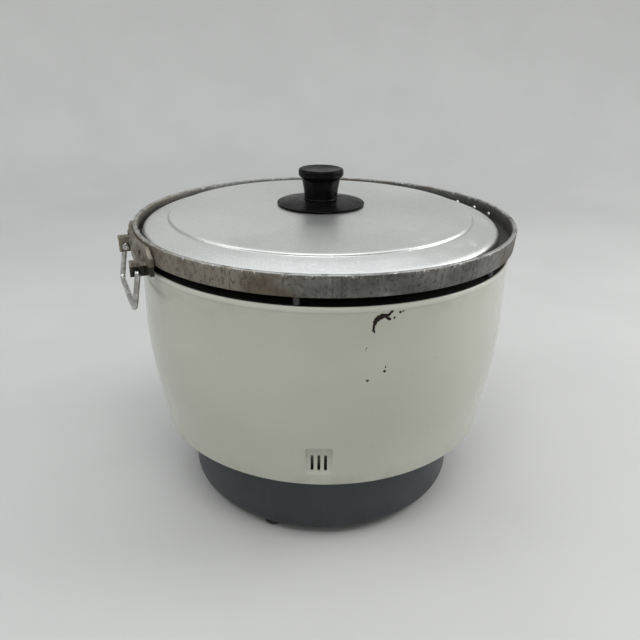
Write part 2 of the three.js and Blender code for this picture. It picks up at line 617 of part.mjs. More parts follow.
// Cast ring round the bowl's mouth, with the ledge for the lid, and the six pegs under it.
function potRim() {
  const edge = 1.4;
  const inside = RING_JOINT + REST_GAP;
  const ring = turned([
    [inside, LEDGE],
    [RIM_INSIDE, LEDGE],
    [RIM_INSIDE, RIM_TOP - edge],
    [RIM_INSIDE + edge, RIM_TOP],
    [RIM_RADIUS - edge, RIM_TOP],
    [RIM_RADIUS, RIM_TOP - edge],
    [RIM_RADIUS - 1.7, RIM_BOTTOM + 1.2],
    [RIM_RADIUS - 2.9, RIM_BOTTOM],
    [inside, RIM_BOTTOM],
  ]);
  add('pot_rim', cut(ring, rivetPlaces().map(rivetHole)), 'castAluminium');

  const pegBottom = LIP_TOP + REST_GAP;
  const pegTop = RIM_BOTTOM - REST_GAP;
  around(6).forEach((a, i) => {
    const peg = rod(3.85, onCircle(PEG_CIRCLE, a, pegBottom), onCircle(PEG_CIRCLE, a, pegTop), 16);
    add(`rim_peg_${i + 1}`, peg, 'castAluminium');
  });
}

// Azimuths of the rivets, three to each bracket.
function rivetPlaces() {
  return [0, 180].flatMap((side) => [-RIVET.spread, 0, RIVET.spread].map((a) => side + a));
}

function rivetHole(azimuth) {
  const through = [RIM_RADIUS - 20, RIM_RADIUS + 20].map((r) => onCircle(r, azimuth, RIVET.z));
  return rod(RIVET.shank + 0.4, ...through, 16);
}

// Cast bracket along the rim with an ear at each end: an upright web bored for the bail and a flange over it.
function bracket() {
  const top = RIM_TOP - 3.7;
  const bottom = RIM_TOP - 35;
  const end = 68.5;
  const chamfer = { across: 9, down: 12 };
  const side = [[end, bottom], [end, top - chamfer.down], [end - chamfer.across, top]];
  const face = [...side, ...side.map(([y, z]) => [-y, z]).reverse()];
  const sector = rod(PLATE_OUTSIDE, [0, 0, bottom], [0, 0, top], 72);
  const plate = sector.intersect(prism(face, 'x', RIM_RADIUS - 40, RIM_RADIUS + 20));
  const ears = [-1, 1].flatMap((s) => {
    const span = (a, b) => (s > 0 ? [a, b] : [-b, -a]);
    return [
      box(EAR.root, EAR.tip, ...span(EAR.inner, EAR.inner + EAR.web), EAR.bottom, EAR.top),
      box(EAR.root, EAR.tip, ...span(EAR.inner, EAR.outer), EAR.top - EAR.web, EAR.top),
    ];
  });
  const rim = rod(PLATE_INSIDE, [0, 0, EAR.bottom - 20], [0, 0, RIM_TOP + 20], 72);
  const bores = rod(WIRE_RADIUS + FIT_GAP, [HINGE.x, -end, HINGE.z], [HINGE.x, end, HINGE.z]);
  return cut(joined([plate, ...ears]), [rim, bores, ...rivetPlaces().slice(0, 3).map(rivetHole)]);
}

// Bent wire handle, leaning a little outwards; y runs along the hinge and depth away from it.
function bail() {
  const lean = rad(10);
  const drop = 43.5;
  const corner = 10;
  const shoulder = 5;
  const leg = HINGE.legY;
  const end = EAR.inner - 2;
  const at = ([y, depth]) => (
    new THREE.Vector3(HINGE.x + depth * Math.sin(lean), y, HINGE.z - depth * Math.cos(lean)));
  const half = [
    [[-end, 0], [-leg + shoulder, 0]],
    [[-leg + shoulder, 0], [-leg, 0], [-leg, shoulder]],
    [[-leg, shoulder], [-leg, drop - corner]],
    [[-leg, drop - corner], [-leg, drop], [-leg + corner, drop]],
  ];
  const otherHalf = half.map((run) => run.map(([y, depth]) => [-y, depth]).reverse()).reverse();
  const bar = [[-leg + corner, drop], [leg - corner, drop]];
  const path = new THREE.CurvePath();
  for (const run of [...half, bar, ...otherHalf]) {
    const points = run.map(at);
    const Run = points.length === 2 ? THREE.LineCurve3 : THREE.QuadraticBezierCurve3;
    path.add(new Run(...points));
  }
  const heads = [-1, 1].map((s) => (
    rod(WIRE_RADIUS + 1.1, [HINGE.x, s * (end - 0.6), HINGE.z], [HINGE.x, s * (end + 1.6), HINGE.z], 12)));
  return joined([swept(path, WIRE_RADIUS, 34, 4), ...heads]);
}

function handles() {
  const plate = bracket();
  const wire = bail();
  add('bracket_right', plate, 'bracket');
  add('bracket_left', placed(plate, 180), 'bracket');
  add('bail_right', wire, 'wire');
  add('bail_left', placed(wire, 180), 'wire');

  const outer = PLATE_OUTSIDE + 0.2;
  const inner = RIM_INSIDE - 0.8;
  const { shank } = RIVET;
  const rivet = turned([
    [0, inner - 1.6], [shank, inner - 1.4], [shank + 1.6, inner], [shank, inner],
    [shank, outer], [shank + 2.2, outer], [shank + 0.6, outer + 1.8], [0, outer + 2.1],
  ], 16).rotate([0, 90, 0]);
  rivetPlaces().forEach((a, i) => add(`rivet_${i + 1}`, placed(rivet.translate([0, 0, RIVET.z]), a), 'bright'));
}

// ---------------------------------------------------------------- lid
function lid() {
  const t = 1.5;
  const screwHole = 3.3;
  const stepRadius = LID_RADIUS - 34.6;
  const crown = (r) => LID_CROWN - 7.2 * (r / stepRadius) ** 2;
  const dome = [screwHole, 0.37 * stepRadius, 0.68 * stepRadius, stepRadius].map((r) => [r, crown(r)]);
  const skin = [
    ...dome,
    [stepRadius + 4.5, RIM_TOP + 2.2],
    [LID_RADIUS - 4, LID_EDGE + 0.4],
    ...rounded([LID_RADIUS - 2, LID_EDGE], [LID_RADIUS, LID_EDGE], [LID_RADIUS, LID_EDGE - 3], 2),
  ];
  const foot = LEDGE + REST_GAP;
  const back = skin.map(([r, z]) => [r > LID_RADIUS - 3 ? r - t : r, z - t]).reverse();
  const profile = [...skin, [LID_RADIUS, foot], [LID_RADIUS - t, foot], ...back];
  addOnLid('lid', turned(profile), 'spunAluminium');
  knobSet(LID_CROWN - t - REST_GAP, screwHole);
}

function addOnLid(name, solid, finish) {
  add(name, solid.translate([...LID_SHIFT, 0]), finish);
}

// Knob on its wide skirt over the lid, and the washer and screw that come up from under it.
function knobSet(under, screwHole) {
  const seat = LID_CROWN + REST_GAP;
  const skirtTop = seat + 5.6;
  const skirt = turned([
    [screwHole, seat], [24, seat], [54, seat + 0.4], [55.8, seat + 1.3], [55.6, seat + 1.9],
    [22.6, skirtTop], [screwHole, skirtTop],
  ], 32);
  addOnLid('knob_skirt', skirt, 'bakelite');

  const neck = skirtTop + REST_GAP;
  const top = RIM_TOP + 57;
  const knob = turned([
    [0, top - 1.6], [18, top - 1.1], [25.6, top], [27.6, top - 0.9], [28.5, top - 2.8], [28.5, top - 8.2],
    [27.4, top - 9.8], [24.4, top - 13], [23.2, top - 17.5], [21.4, top - 28], [20.6, neck + 1], [20, neck],
    [3.1, neck], [3.1, neck + 14], [0, neck + 14],
  ], 24);
  addOnLid('knob', knob, 'bakelite');

  const washerBottom = under - 1.2;
  const washer = turned([
    [screwHole, washerBottom], [9, washerBottom], [9, under], [screwHole, under],
  ], SMALL_ROUND);
  addOnLid('knob_washer', washer, 'bright');

  const headTop = washerBottom - REST_GAP;
  const head = 5.6;
  const shank = 2.6;
  const screw = turned([
    [0, headTop - 3], [head - 2, headTop - 3], [head, headTop - 1.6], [head, headTop], [shank, headTop],
    [shank, neck + 12], [0, neck + 12],
  ], SMALL_ROUND);
  addOnLid('knob_screw', screw, 'bright');
}

shell();
liner();
tray();
basePan();
feet();
shellScrews();
burnerBridge();
burner();
igniterPins();
potSensor();
gasValve();
controlBox();
boxScrews();
cookLever();
ignition();
pot();
potRim();
handles();
lid();

export default group;
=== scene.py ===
import math

import bmesh
import bpy
import numpy as np
from mathutils import Euler, Matrix, Vector


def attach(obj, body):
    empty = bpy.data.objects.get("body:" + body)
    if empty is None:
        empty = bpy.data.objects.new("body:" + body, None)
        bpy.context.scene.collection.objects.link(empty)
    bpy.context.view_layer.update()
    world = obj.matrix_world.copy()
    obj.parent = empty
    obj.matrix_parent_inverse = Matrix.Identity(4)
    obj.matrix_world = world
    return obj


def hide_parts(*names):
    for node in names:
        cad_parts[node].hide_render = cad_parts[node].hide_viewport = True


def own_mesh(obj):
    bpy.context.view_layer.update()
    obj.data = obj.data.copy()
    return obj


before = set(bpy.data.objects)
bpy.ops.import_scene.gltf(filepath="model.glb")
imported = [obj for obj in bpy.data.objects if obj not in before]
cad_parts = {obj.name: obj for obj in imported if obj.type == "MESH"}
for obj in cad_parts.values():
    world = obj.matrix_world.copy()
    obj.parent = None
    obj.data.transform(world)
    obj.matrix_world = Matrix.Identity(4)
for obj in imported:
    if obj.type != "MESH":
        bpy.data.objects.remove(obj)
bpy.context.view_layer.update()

# ---------------------------------------------------------------- outer shell
# Deep-drawn steel bowl without a bottom, glossy ivory enamel inside and out. Its upper edge is rolled into
# a lip that carries the pot; a dimple at the back is pierced with three slots to watch the flame. The
# enamel is chipped to the steel below the lip.
MM = 0.001
SHELL_BOTTOM = 109.5
SHELL_SHEET = 1.6
SHELL_FLOOR_HOLE = 165.0
WALL_RADIUS = 233.7
LIP_TOP = 334.6
LIP_RADIUS = 234.5
LIP_INSIDE = 213.4
WALL_POINTS = [(220.4, 112.5), (225.8, 154.5), (231.6, 199.5), (234.2, 245.0), (233.7, 290.0),
               (233.6, 327.0)]
VENT = {"azimuth": 66.0, "z": 145.0, "half_width": 16.0, "half_height": 19.5, "corner": 5.0, "back": 220.4,
        "slope": 4.2}
SLOT = {"radius": 1.7, "reach": 8.8, "pitch": 7.5, "z": 140.5}
# Chips as strokes: azimuth in degrees, height, half width of the bare metal at each point.
CHIPS = [
    [(79.32, 305.8, 0.5), (79.08, 308.7, 0.9), (79.25, 313.7, 1.1), (79.46, 318.0, 1.9), (80.2, 321.1, 2.5),
     (81.21, 323.2, 2.4), (82.26, 323.1, 1.8), (82.98, 323.9, 1.3), (83.28, 326.0, 1.1),
     (83.73, 327.4, 0.8)],
    [(82.02, 321.9, 1.0), (83.19, 318.8, 0.8)],
    [(85.9, 325.3, 0.9), (86.0, 325.2, 0.9)],
    [(86.55, 325.7, 0.7), (86.7, 325.8, 0.7)],
    [(84.57, 320.7, 0.4), (84.3, 319.4, 0.4)],
    [(82.56, 260.4, 1.0), (82.6, 260.5, 1.0)],
    [(82.79, 265.4, 0.4), (82.8, 265.5, 0.4)],
    [(78.11, 251.7, 1.0), (78.15, 251.8, 1.0)],
    [(77.66, 289.2, 0.3), (77.7, 289.3, 0.3)],
    [(246.0, 300.2, 1.0), (246.4, 300.9, 1.0)],
    [(301.0, 322.0, 1.1), (301.9, 322.8, 0.7)],
    [(152.0, 118.0, 0.9), (152.6, 117.6, 0.7)],
    [(20.0, 121.0, 0.8), (20.2, 121.4, 0.6)],
]


def catmull_rom(points, samples):
    """A smooth line through the points, the ends held."""
    p = np.array([points[0], *points, points[-1]], float)
    spots = np.linspace(0, len(points) - 1, samples)
    line = []
    for spot in spots:
        i = min(int(spot), len(points) - 2)
        t = spot - i
        a, b, c, d = p[i], p[i + 1], p[i + 2], p[i + 3]
        v0, v1 = (c - a) / 2, (d - b) / 2
        line.append(b + v0 * t + (3 * (c - b) - 2 * v0 - v1) * t**2 + (2 * (b - c) + v0 + v1) * t**3)
    return np.array(line)


def eased(corners, steps=4):
    """Profile points with the corners rounded; a corner is (radius, height) or (radius, height, fillet)."""
    pts = [Vector(c[:2]) for c in corners]
    closed = corners[0][0] > 0
    line = []
    for i, corner in enumerate(corners):
        fillet = corner[2] if len(corner) > 2 else 0
        if not fillet or (not closed and i in (0, len(corners) - 1)):
            line.append(pts[i][:])
            continue
        before, after = pts[i - 1] - pts[i], pts[(i + 1) % len(pts)] - pts[i]
        reach = min(fillet, 0.48 * before.length, 0.48 * after.length)
        start, end = pts[i] + before.normalized() * reach, pts[i] + after.normalized() * reach
        for k in range(steps + 1):
            t = k / steps
            line.append(((1 - t) ** 2 * start + 2 * t * (1 - t) * pts[i] + t**2 * end)[:])
    return line


def added(name, data):
    """A new object at the origin, linked to the scene."""
    made = bpy.data.objects.new(name, data)
    bpy.context.scene.collection.objects.link(made)
    return made


def shade(piece, smooth_angle=40):
    """Smooth shading up to the given edge angle."""
    piece.data.shade_smooth()
    piece.data.set_sharp_from_angle(angle=math.radians(smooth_angle))


def new_piece(name, verts, faces, smooth_angle=40):
    """An object at the origin from points in millimetres, smooth shaded up to the given edge angle."""
    mesh = bpy.data.meshes.new(name)
    mesh.from_pydata([tuple(c * MM for c in v) for v in verts], [], faces)
    piece = added(name, mesh)
    tidy(piece, smooth_angle)
    return piece


def tidy(piece, smooth_angle=40):
    """Merges doubles, turns the faces outward and sets the smooth shading."""
    shape = bmesh.new()
    shape.from_mesh(piece.data)
    bmesh.ops.remove_doubles(shape, verts=shape.verts, dist=1e-7)
    bmesh.ops.recalc_face_normals(shape, faces=shape.faces)
    shape.to_mesh(piece.data)
    shape.free()
    shade(piece, smooth_angle)


def spun(name, profile, sides=180, centre=(0, 0), angles=None, smooth_angle=40):
    """A profile of (radius, height) turned round an upright axis; it closes on the axis or on itself."""
    turns = np.linspace(0, 2 * math.pi, sides, endpoint=False) if angles is None else np.array(angles)
    count = len(turns)
    verts, rings = [], []
    for r, z in profile:
        if r < 1e-6:
            rings.append([len(verts)] * count)
            verts.append((centre[0], centre[1], z))
        else:
            rings.append(list(range(len(verts), len(verts) + count)))
            verts += [(centre[0] + r * math.cos(a), centre[1] + r * math.sin(a), z) for a in turns]
    pairs = list(zip(rings, rings[1:]))
    if profile[0][0] > 1e-6:
        pairs.append((rings[-1], rings[0]))
    faces = []
    for low, high in pairs:
        for i in range(count):
            j = (i + 1) % count
            corner = list(dict.fromkeys((low[i], low[j], high[j], high[i])))
            if len(corner) > 2:
                faces.append(corner)
    return new_piece(name, verts, faces, smooth_angle)


def cut_out(piece, tools, operation="DIFFERENCE", smooth_angle=40):
    """Booleans the tools into the piece, then removes them."""
    for tool in tools:
        step = piece.modifiers.new("cut", "BOOLEAN")
        step.operation = operation
        step.solver = "EXACT"
        step.object = tool
    settle(piece)
    for tool in tools:
        bpy.data.objects.remove(tool)
    tidy(piece, smooth_angle)


def settle(piece):
    """Turns the piece with its modifiers into a plain mesh."""
    ready = bpy.context.evaluated_depsgraph_get()
    ready.update()
    mesh = bpy.data.meshes.new_from_object(piece.evaluated_get(ready))
    piece.modifiers.clear()
    piece.data = mesh


def slab(name, outline, axis, low, high, smooth_angle=40):
    """An outline pushed along an axis from low to high; its pairs are the other two axes in order."""
    def put(a, b, c):
        return {"x": (c, a, b), "y": (a, c, b), "z": (a, b, c)}[axis]
    n = len(outline)
    verts = [put(a, b, low) for a, b in outline] + [put(a, b, high) for a, b in outline]
    faces = [list(range(n)), list(range(n, 2 * n))] + [[i, (i + 1) % n, n + (i + 1) % n,
                                                        n + i] for i in range(n)]
    return new_piece(name, verts, faces, smooth_angle)


def rounded_box(half_a, half_b, corner, centre=(0, 0), steps=6):
    """Outline of a rectangle with round corners."""
    line = []
    for sa, sb, start in ((1, 1, 0), (-1, 1, 90), (-1, -1, 180), (1, -1, 270)):
        for k in range(steps + 1):
            t = math.radians(start + 90 * k / steps)
            line.append((centre[0] + sa * (half_a - corner) + corner * math.cos(t),
                         centre[1] + sb * (half_b - corner) + corner * math.sin(t)))
    return line


def turned_about_z(piece, degrees):
    """The piece's mesh turned round the upright axis."""
    piece.data.transform(Matrix.Rotation(math.radians(degrees), 4, "Z"))
    return piece


def node(tree, kind, sockets=None, **settings):
    """Adds a node; a socket's value may be a number, a colour or another node's output."""
    made = tree.nodes.new(kind)
    for key, value in settings.items():
        setattr(made, key, value)
    for name, value in (sockets or {}).items():
        if isinstance(value, bpy.types.NodeSocket):
            tree.links.new(value, made.inputs[name])
        else:
            made.inputs[name].default_value = value
    return made


def calc(tree, operation, a, b=0.0):
    return node(tree, "ShaderNodeMath", {0: a, 1: b}, operation=operation).outputs[0]


def times(tree, a, b):
    return calc(tree, "MULTIPLY", a, b)


def spread(tree, value, low, high, to_low=0.0, to_high=1.0):
    """Eases a value from one span to another and holds it there."""
    made = node(tree, "ShaderNodeMapRange", {"Value": value, "From Min": low, "From Max": high,
                                             "To Min": to_low, "To Max": to_high},
                                             interpolation_type="SMOOTHSTEP")
    return made.outputs[0]


def mixed(tree, factor, first, second):
    """Colour between first and second; a plain colour is three numbers."""
    first, second = ((*c, 1) if isinstance(c, tuple) else c for c in (first, second))
    return node(tree, "ShaderNodeMix", {0: factor, 6: first, 7: second}, data_type="RGBA").outputs[2]


def laid_on(tree, base, mask, share, colour):
    """The base with a colour over it where the mask is, at a share of the mask's strength."""
    return mixed(tree, times(tree, mask, share), base, colour)


def mixed_value(tree, factor, first, second):
    return node(tree, "ShaderNodeMix", {0: factor, 2: first, 3: second}, data_type="FLOAT").outputs[0]


def place(tree, stretch=(1, 1, 1), turn=(0, 0, 0), shift=(0, 0, 0)):
    """Object coordinates, moved, turned and stretched."""
    spot = node(tree, "ShaderNodeTexCoord").outputs["Object"]
    return node(tree, "ShaderNodeMapping", {"Vector": spot, "Scale": stretch, "Rotation": turn,
                                            "Location": shift}).outputs[0]


def axes(tree):
    """X, Y and Z of the object's own coordinates, in metres."""
    return node(tree, "ShaderNodeSeparateXYZ", {0: place(tree)}).outputs


def from_axis(tree, shift=(0, 0, 0)):
    """Distance from an upright axis, in metres."""
    flat = place(tree, (1, 1, 0), (0, 0, 0), shift)
    return node(tree, "ShaderNodeVectorMath", {0: flat}, operation="LENGTH").outputs["Value"]


def noise(tree, scale, detail=2.0):
    sockets = {"Vector": place(tree), "Scale": scale, "Detail": detail}
    return node(tree, "ShaderNodeTexNoise", sockets).outputs[0]


def effect(name, inputs, outputs):
    """An empty shader node group with its named sockets."""
    group = bpy.data.node_groups.new(name, "ShaderNodeTree")
    for title, kind, value in inputs:
        group.interface.new_socket(title, in_out="INPUT",
                                   socket_type="NodeSocket" + kind).default_value = value
    for title, kind in outputs:
        group.interface.new_socket(title, in_out="OUTPUT", socket_type="NodeSocket" + kind)
    return group, group.nodes.new("NodeGroupInput").outputs, group.nodes.new("NodeGroupOutput").inputs


# Uneven patches: noise stretched along the axes and cut between two levels.
patches, given, result = effect(
    "patches", [("Stretch", "Vector", (10, 10, 10)), ("Detail", "Float", 4.0), ("Low", "Float", 0.4),
                ("High", "Float", 0.6)],
    [("Mask", "Float")])
spot = node(patches, "ShaderNodeTexCoord").outputs["Object"]
stretched = node(patches, "ShaderNodeVectorMath", {0: spot, 1: given["Stretch"]},
                 operation="MULTIPLY").outputs[0]
cloud = node(patches, "ShaderNodeTexNoise", {"Vector": stretched, "Scale": 1.0, "Detail": given["Detail"],
                                             "Roughness": 0.6})
patches.links.new(spread(patches, cloud.outputs[0], given["Low"], given["High"]), result["Mask"])

# Fine scratches: very long thin noise in three directions, only its peaks kept.
scratches, given, result = effect(
    "scratches", [("Fineness", "Float", 900.0), ("Length", "Float", 18.0), ("Level", "Float", 0.68)],
    [("Mask", "Float")])
spot = node(scratches, "ShaderNodeTexCoord").outputs["Object"]
lines = []
for turn in ((0.1, 0.2, 0.5), (0.9, 0.3, 1.7), (0.4, 1.2, 2.6)):
    turned_spot = node(scratches, "ShaderNodeVectorRotate", {"Vector": spot, "Rotation": turn},
                       rotation_type="EULER_XYZ").outputs[0]
    thin = node(scratches, "ShaderNodeCombineXYZ",
                {0: given["Length"], 1: given["Fineness"], 2: given["Fineness"]}).outputs[0]
    long_spot = node(scratches, "ShaderNodeVectorMath", {0: turned_spot, 1: thin},
                     operation="MULTIPLY").outputs[0]
    line = node(scratches, "ShaderNodeTexNoise",
                {"Vector": long_spot, "Scale": 1.0, "Detail": 1.0}).outputs[0]
    top = calc(scratches, "ADD", given["Level"], 0.06)
    lines.append(spread(scratches, line, given["Level"], top))
scratches.links.new(calc(scratches, "MAXIMUM", calc(scratches, "MAXIMUM", lines[0], lines[1]), lines[2]),
                    result["Mask"])


def patch_mask(tree, stretch, low=0.4, high=0.6, detail=4.0):
    return node(tree, "ShaderNodeGroup", {"Stretch": stretch, "Low": low, "High": high, "Detail": detail},
                node_tree=patches).outputs[0]


def scratch_mask(tree, fineness=900.0, length=18.0, level=0.68):
    return node(tree, "ShaderNodeGroup", {"Fineness": fineness, "Length": length, "Level": level},
                node_tree=scratches).outputs[0]


def finish(name, **shader):
    """A material and its shader node, with the values that are the same all over set on the shader."""
    made = bpy.data.materials.new(name)
    made.use_nodes = True
    surface = made.node_tree.nodes["Principled BSDF"]
    for title, value in shader.items():
        surface.inputs[title.replace("_", " ")].default_value = value
    return made, made.node_tree, surface


def feed(tree, surface, **sources):
    for title, value in sources.items():
        tree.links.new(value, surface.inputs[title.replace("_", " ")])


def bumped(tree, height, strength, distance=0.001, under=None):
    sockets = {"Height": height, "Strength": strength, "Distance": distance}
    if under is not None:
        sockets["Normal"] = under
    return node(tree, "ShaderNodeBump", sockets).outputs[0]


def finished(piece, material, body, slot, *nodes):
    """Gives the piece its finish and ties it to its body and the nodes that it stands for; the slot is not
    used.
    """
    piece.data.materials.clear()
    piece.data.materials.append(material)
    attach(piece, body)
    if nodes:
        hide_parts(*nodes)
    return piece


def wall_depth(azimuth, z):
    """How deep in the dimple a point of the wall lies, from 0 at its edge to 1 on its flat back."""
    turn = math.radians(azimuth - VENT["azimuth"])
    across = abs(VENT["back"] * math.tan(turn)) - (VENT["half_width"] - VENT["corner"])
    up = abs(z - VENT["z"]) - (VENT["half_height"] - VENT["corner"])
    outside = math.hypot(max(across, 0), max(up, 0)) + min(max(across, up), 0) - VENT["corner"]
    t = min(max(-outside / VENT["slope"], 0), 1)
    return t * t * (3 - 2 * t)


def shell_columns():
    """Azimuths of the wall's columns, closer together round the dimple and the chips."""
    marks = [(0, 62.0, 1.5), (62.0, 70.0, 0.2), (70.0, 78.0, 0.5), (78.0, 87.4, 0.2), (87.4, 360, 1.5)]
    columns = [a for low, high, step in marks for a in np.linspace(low, high, round((high - low) / step),
        endpoint=False)]
    return np.radians(columns)


wall_outside = [tuple(p) for p in catmull_rom(WALL_POINTS, 190)]
wall_inside = [(r - SHELL_SHEET, z) for r, z in wall_outside[::-1]]
shell_profile = [
    *eased([(SHELL_FLOOR_HOLE, SHELL_BOTTOM), (219.6, SHELL_BOTTOM, 3.0), (220.4, 112.5)])[:-1],
    *wall_outside,
    *eased([(233.6, 327.0), (LIP_RADIUS, 329.8, 2.8), (LIP_RADIUS, LIP_TOP, 4.6),
            (LIP_INSIDE, LIP_TOP, 1.2),
            (LIP_INSIDE, 325.0, 0.6), (LIP_INSIDE + SHELL_SHEET, 325.0, 0.6),
            (LIP_INSIDE + SHELL_SHEET, 333.0, 0.5),
            (229.6, 333.0, 2.0), (232.4, 330.6, 1.0), (232.0, 327.0)])[1:-1],
    *wall_inside,
    (217.6, SHELL_BOTTOM + SHELL_SHEET + 1),
    (216.6, SHELL_BOTTOM + SHELL_SHEET),
    (SHELL_FLOOR_HOLE, SHELL_BOTTOM + SHELL_SHEET),
]
shell = spun("outer_shell_enamel", shell_profile, angles=shell_columns())
vent_turn = math.radians(VENT["azimuth"])
vent_out = Vector((math.cos(vent_turn), math.sin(vent_turn), 0))
for vert in shell.data.vertices:
    place_mm = vert.co / MM
    depth = wall_depth(math.degrees(math.atan2(place_mm.y, place_mm.x)), place_mm.z)
    out = place_mm.dot(vent_out)
    if depth > 0 and out > 210:
        radius = math.hypot(place_mm.x, place_mm.y)
        wall = np.interp(place_mm.z, [p[1] for p in wall_outside], [p[0] for p in wall_outside])
        outer = radius > wall - SHELL_SHEET / 2
        back = VENT["back"] if outer else VENT["back"] - SHELL_SHEET
        vert.co += vent_out * (back - out) * depth * MM
slots = []
for i in (-1, 0, 1):
    outline = rounded_box(SLOT["radius"], SLOT["reach"] + SLOT["radius"], SLOT["radius"] * 0.98,
                          (i * SLOT["pitch"], SLOT["z"]))
    cutter = slab(f"slot_cutter_{i}", outline, "x", VENT["back"] - 8, VENT["back"] + 6)
    slots.append(turned_about_z(cutter, VENT["azimuth"]))
cut_out(shell, slots)

points = np.empty(len(shell.data.vertices) * 3)
shell.data.vertices.foreach_get("co", points)
points = points.reshape(-1, 3) / MM
along = np.stack([np.degrees(np.arctan2(points[:, 1], points[:, 0])) % 360 * math.radians(1) * WALL_RADIUS,
                  points[:, 2]], 1)
nearest = np.full(len(points), 30.0)
for stroke in CHIPS:
    spots = [np.array([math.radians(a) * WALL_RADIUS, z]) for a, z, _ in stroke]
    for (a, b), (wa, wb) in zip(zip(spots, spots[1:]),
                                zip([s[2] for s in stroke], [s[2] for s in stroke[1:]])):
        t = np.clip(((along - a) @ (b - a)) / max(float((b - a) @ (b - a)), 1e-9), 0, 1)
        gap = np.hypot(*(along - (a + t[:, None] * (b - a))).T) - (wa + t * (wb - wa))
        nearest = np.minimum(nearest, gap)
inner_face = (np.hypot(points[:, 0], points[:, 1]) < 232.9) & (points[:, 2] > 230)
nearest[inner_face] += 20.0
chip_gap = shell.data.attributes.new("chip_gap", "FLOAT", "POINT")
chip_gap.data.foreach_set("value", nearest.astype(np.float32))

enamel, tree, surface = finish("ivory_enamel", Roughness=0.2, Specular_IOR_Level=0.3, Coat_Roughness=0.06)
gap = node(tree, "ShaderNodeAttribute", attribute_name="chip_gap").outputs["Fac"]
wobble = noise(tree, 620.0, 3.0)
ragged = calc(tree, "ADD", gap, times(tree, calc(tree, "SUBTRACT", wobble, 0.5), 3.6))
chip = spread(tree, ragged, 0.55, 0.3)
chip_rim = spread(tree, ragged, 1.2, 0.5)
tone = patch_mask(tree, (5, 5, 7), 0.35, 0.65, 2.0)
ivory = mixed(tree, tone, (0.455, 0.461, 0.387), (0.487, 0.490, 0.419))
height = axes(tree)[2]
smoked = times(tree, spread(tree, height, 0.29, 0.335), patch_mask(tree, (30, 30, 60), 0.45, 0.8))
ivory = laid_on(tree, ivory, smoked, 0.3, (0.30, 0.28, 0.21))
# Patchy darkening towards the bottom of the wall.
shell_low_darkening = times(tree, spread(tree, height, 0.135, 0.108), patch_mask(tree, (40, 40, 20), 0.35, 0.7))
ivory = laid_on(tree, ivory, shell_low_darkening, 0.3, (0.25, 0.22, 0.16))
scuffed = times(tree, scratch_mask(tree, 700, 26, 0.69), patch_mask(tree, (14, 14, 20), 0.5, 0.72))
ivory = laid_on(tree, ivory, scuffed, 0.14, (0.22, 0.21, 0.18))
specks = patch_mask(tree, (300, 300, 300), 0.765, 0.785, 1.0)
ivory = laid_on(tree, ivory, specks, 0.45, (0.12, 0.10, 0.08))
bare = mixed(tree, patch_mask(tree, (380, 380, 380), 0.42, 0.58), (0.0035, 0.003, 0.003),
             (0.020, 0.012, 0.009))
ivory = laid_on(tree, ivory, chip_rim, 0.2, (0.52, 0.52, 0.48))
skin = mixed(tree, chip, ivory, bare)
across = from_axis(tree)
# Painted shade: the flat top of the lip inside the rolled edge is painted near black and made matt, standing
# in for the shade in the gap under the rim.
lip_gap_painted_shade = times(tree, spread(tree, height, 0.3318, 0.3332), spread(tree, across, 0.2333, 0.2321))
# Painted highlight: the outer curve of the rolled lip is painted lighter.
lip_painted_highlight = times(tree, spread(tree, height, 0.3275, 0.3300), spread(tree, across, 0.2325, 0.2335))
skin = laid_on(tree, skin, lip_painted_highlight, 0.45, (0.66, 0.66, 0.58))
skin = mixed(tree, lip_gap_painted_shade, skin, (0.010, 0.009, 0.008))
matt = calc(tree, "MAXIMUM", chip, lip_gap_painted_shade)
gloss = mixed_value(tree, patch_mask(tree, (9, 9, 12), 0.3, 0.7), 0.16, 0.26)
gloss = mixed_value(tree, matt, calc(tree, "ADD", gloss, times(tree, scuffed, 0.25)), 0.95)
peel = noise(tree, 140.0)
relief = bumped(tree, peel, 0.035)
relief = bumped(tree, calc(tree, "SUBTRACT", 1.0, chip), 0.6, 0.0005, relief)
feed(tree, surface, Base_Color=skin, Roughness=gloss, Normal=relief,
     Coat_Weight=calc(tree, "SUBTRACT", 0.5, times(tree, matt, 0.5)))
finished(shell, enamel, "cooker_body", "enamel", "outer_shell")

# ---------------------------------------------------------------- heat shield and drip tray
# Thin steel sleeve between the pot and the shell that leads the burnt gas up to the gap under the rim, and a
# shallow steel ring that catches what boils over. Both lie loose on the shell's floor and are heat-tinted.
SHIELD_RADIUS = 212.2
THIN = 1.2
LOOSE_BOTTOM = 111.4
shield = spun("heat_shield_sleeve", eased([
    (199.0, LOOSE_BOTTOM, 0.4), (SHIELD_RADIUS, LOOSE_BOTTOM, 1.6), (SHIELD_RADIUS, 322.0, 0.5),
    (SHIELD_RADIUS - THIN, 322.0, 0.5),
    (SHIELD_RADIUS - THIN, LOOSE_BOTTOM + THIN, 1.0), (199.0, LOOSE_BOTTOM + THIN, 0.4)], 3))
drip_tray = spun("drip_tray_ring", eased([
    (86.0, LOOSE_BOTTOM, 1.5), (196.5, LOOSE_BOTTOM, 2.0), (196.5, 116.4, 0.5), (195.3, 116.4, 0.5),
    (195.3, 112.6, 1.2),
    (87.2, 112.6, 1.2), (87.2, 117.4, 0.5), (86.0, 117.4, 0.5)], 3))
tinted, tree, surface = finish("heat_tinted_sheet", Metallic=0.9)
bands = patch_mask(tree, (14, 14, 22), 0.3, 0.7)
plain = mixed(tree, bands, (0.20, 0.195, 0.19), (0.31, 0.29, 0.26))
straw = mixed(tree, patch_mask(tree, (22, 22, 9), 0.5, 0.75), plain, (0.26, 0.17, 0.08))
burnt = mixed(tree, patch_mask(tree, (35, 35, 35), 0.55, 0.8), straw, (0.035, 0.03, 0.027))
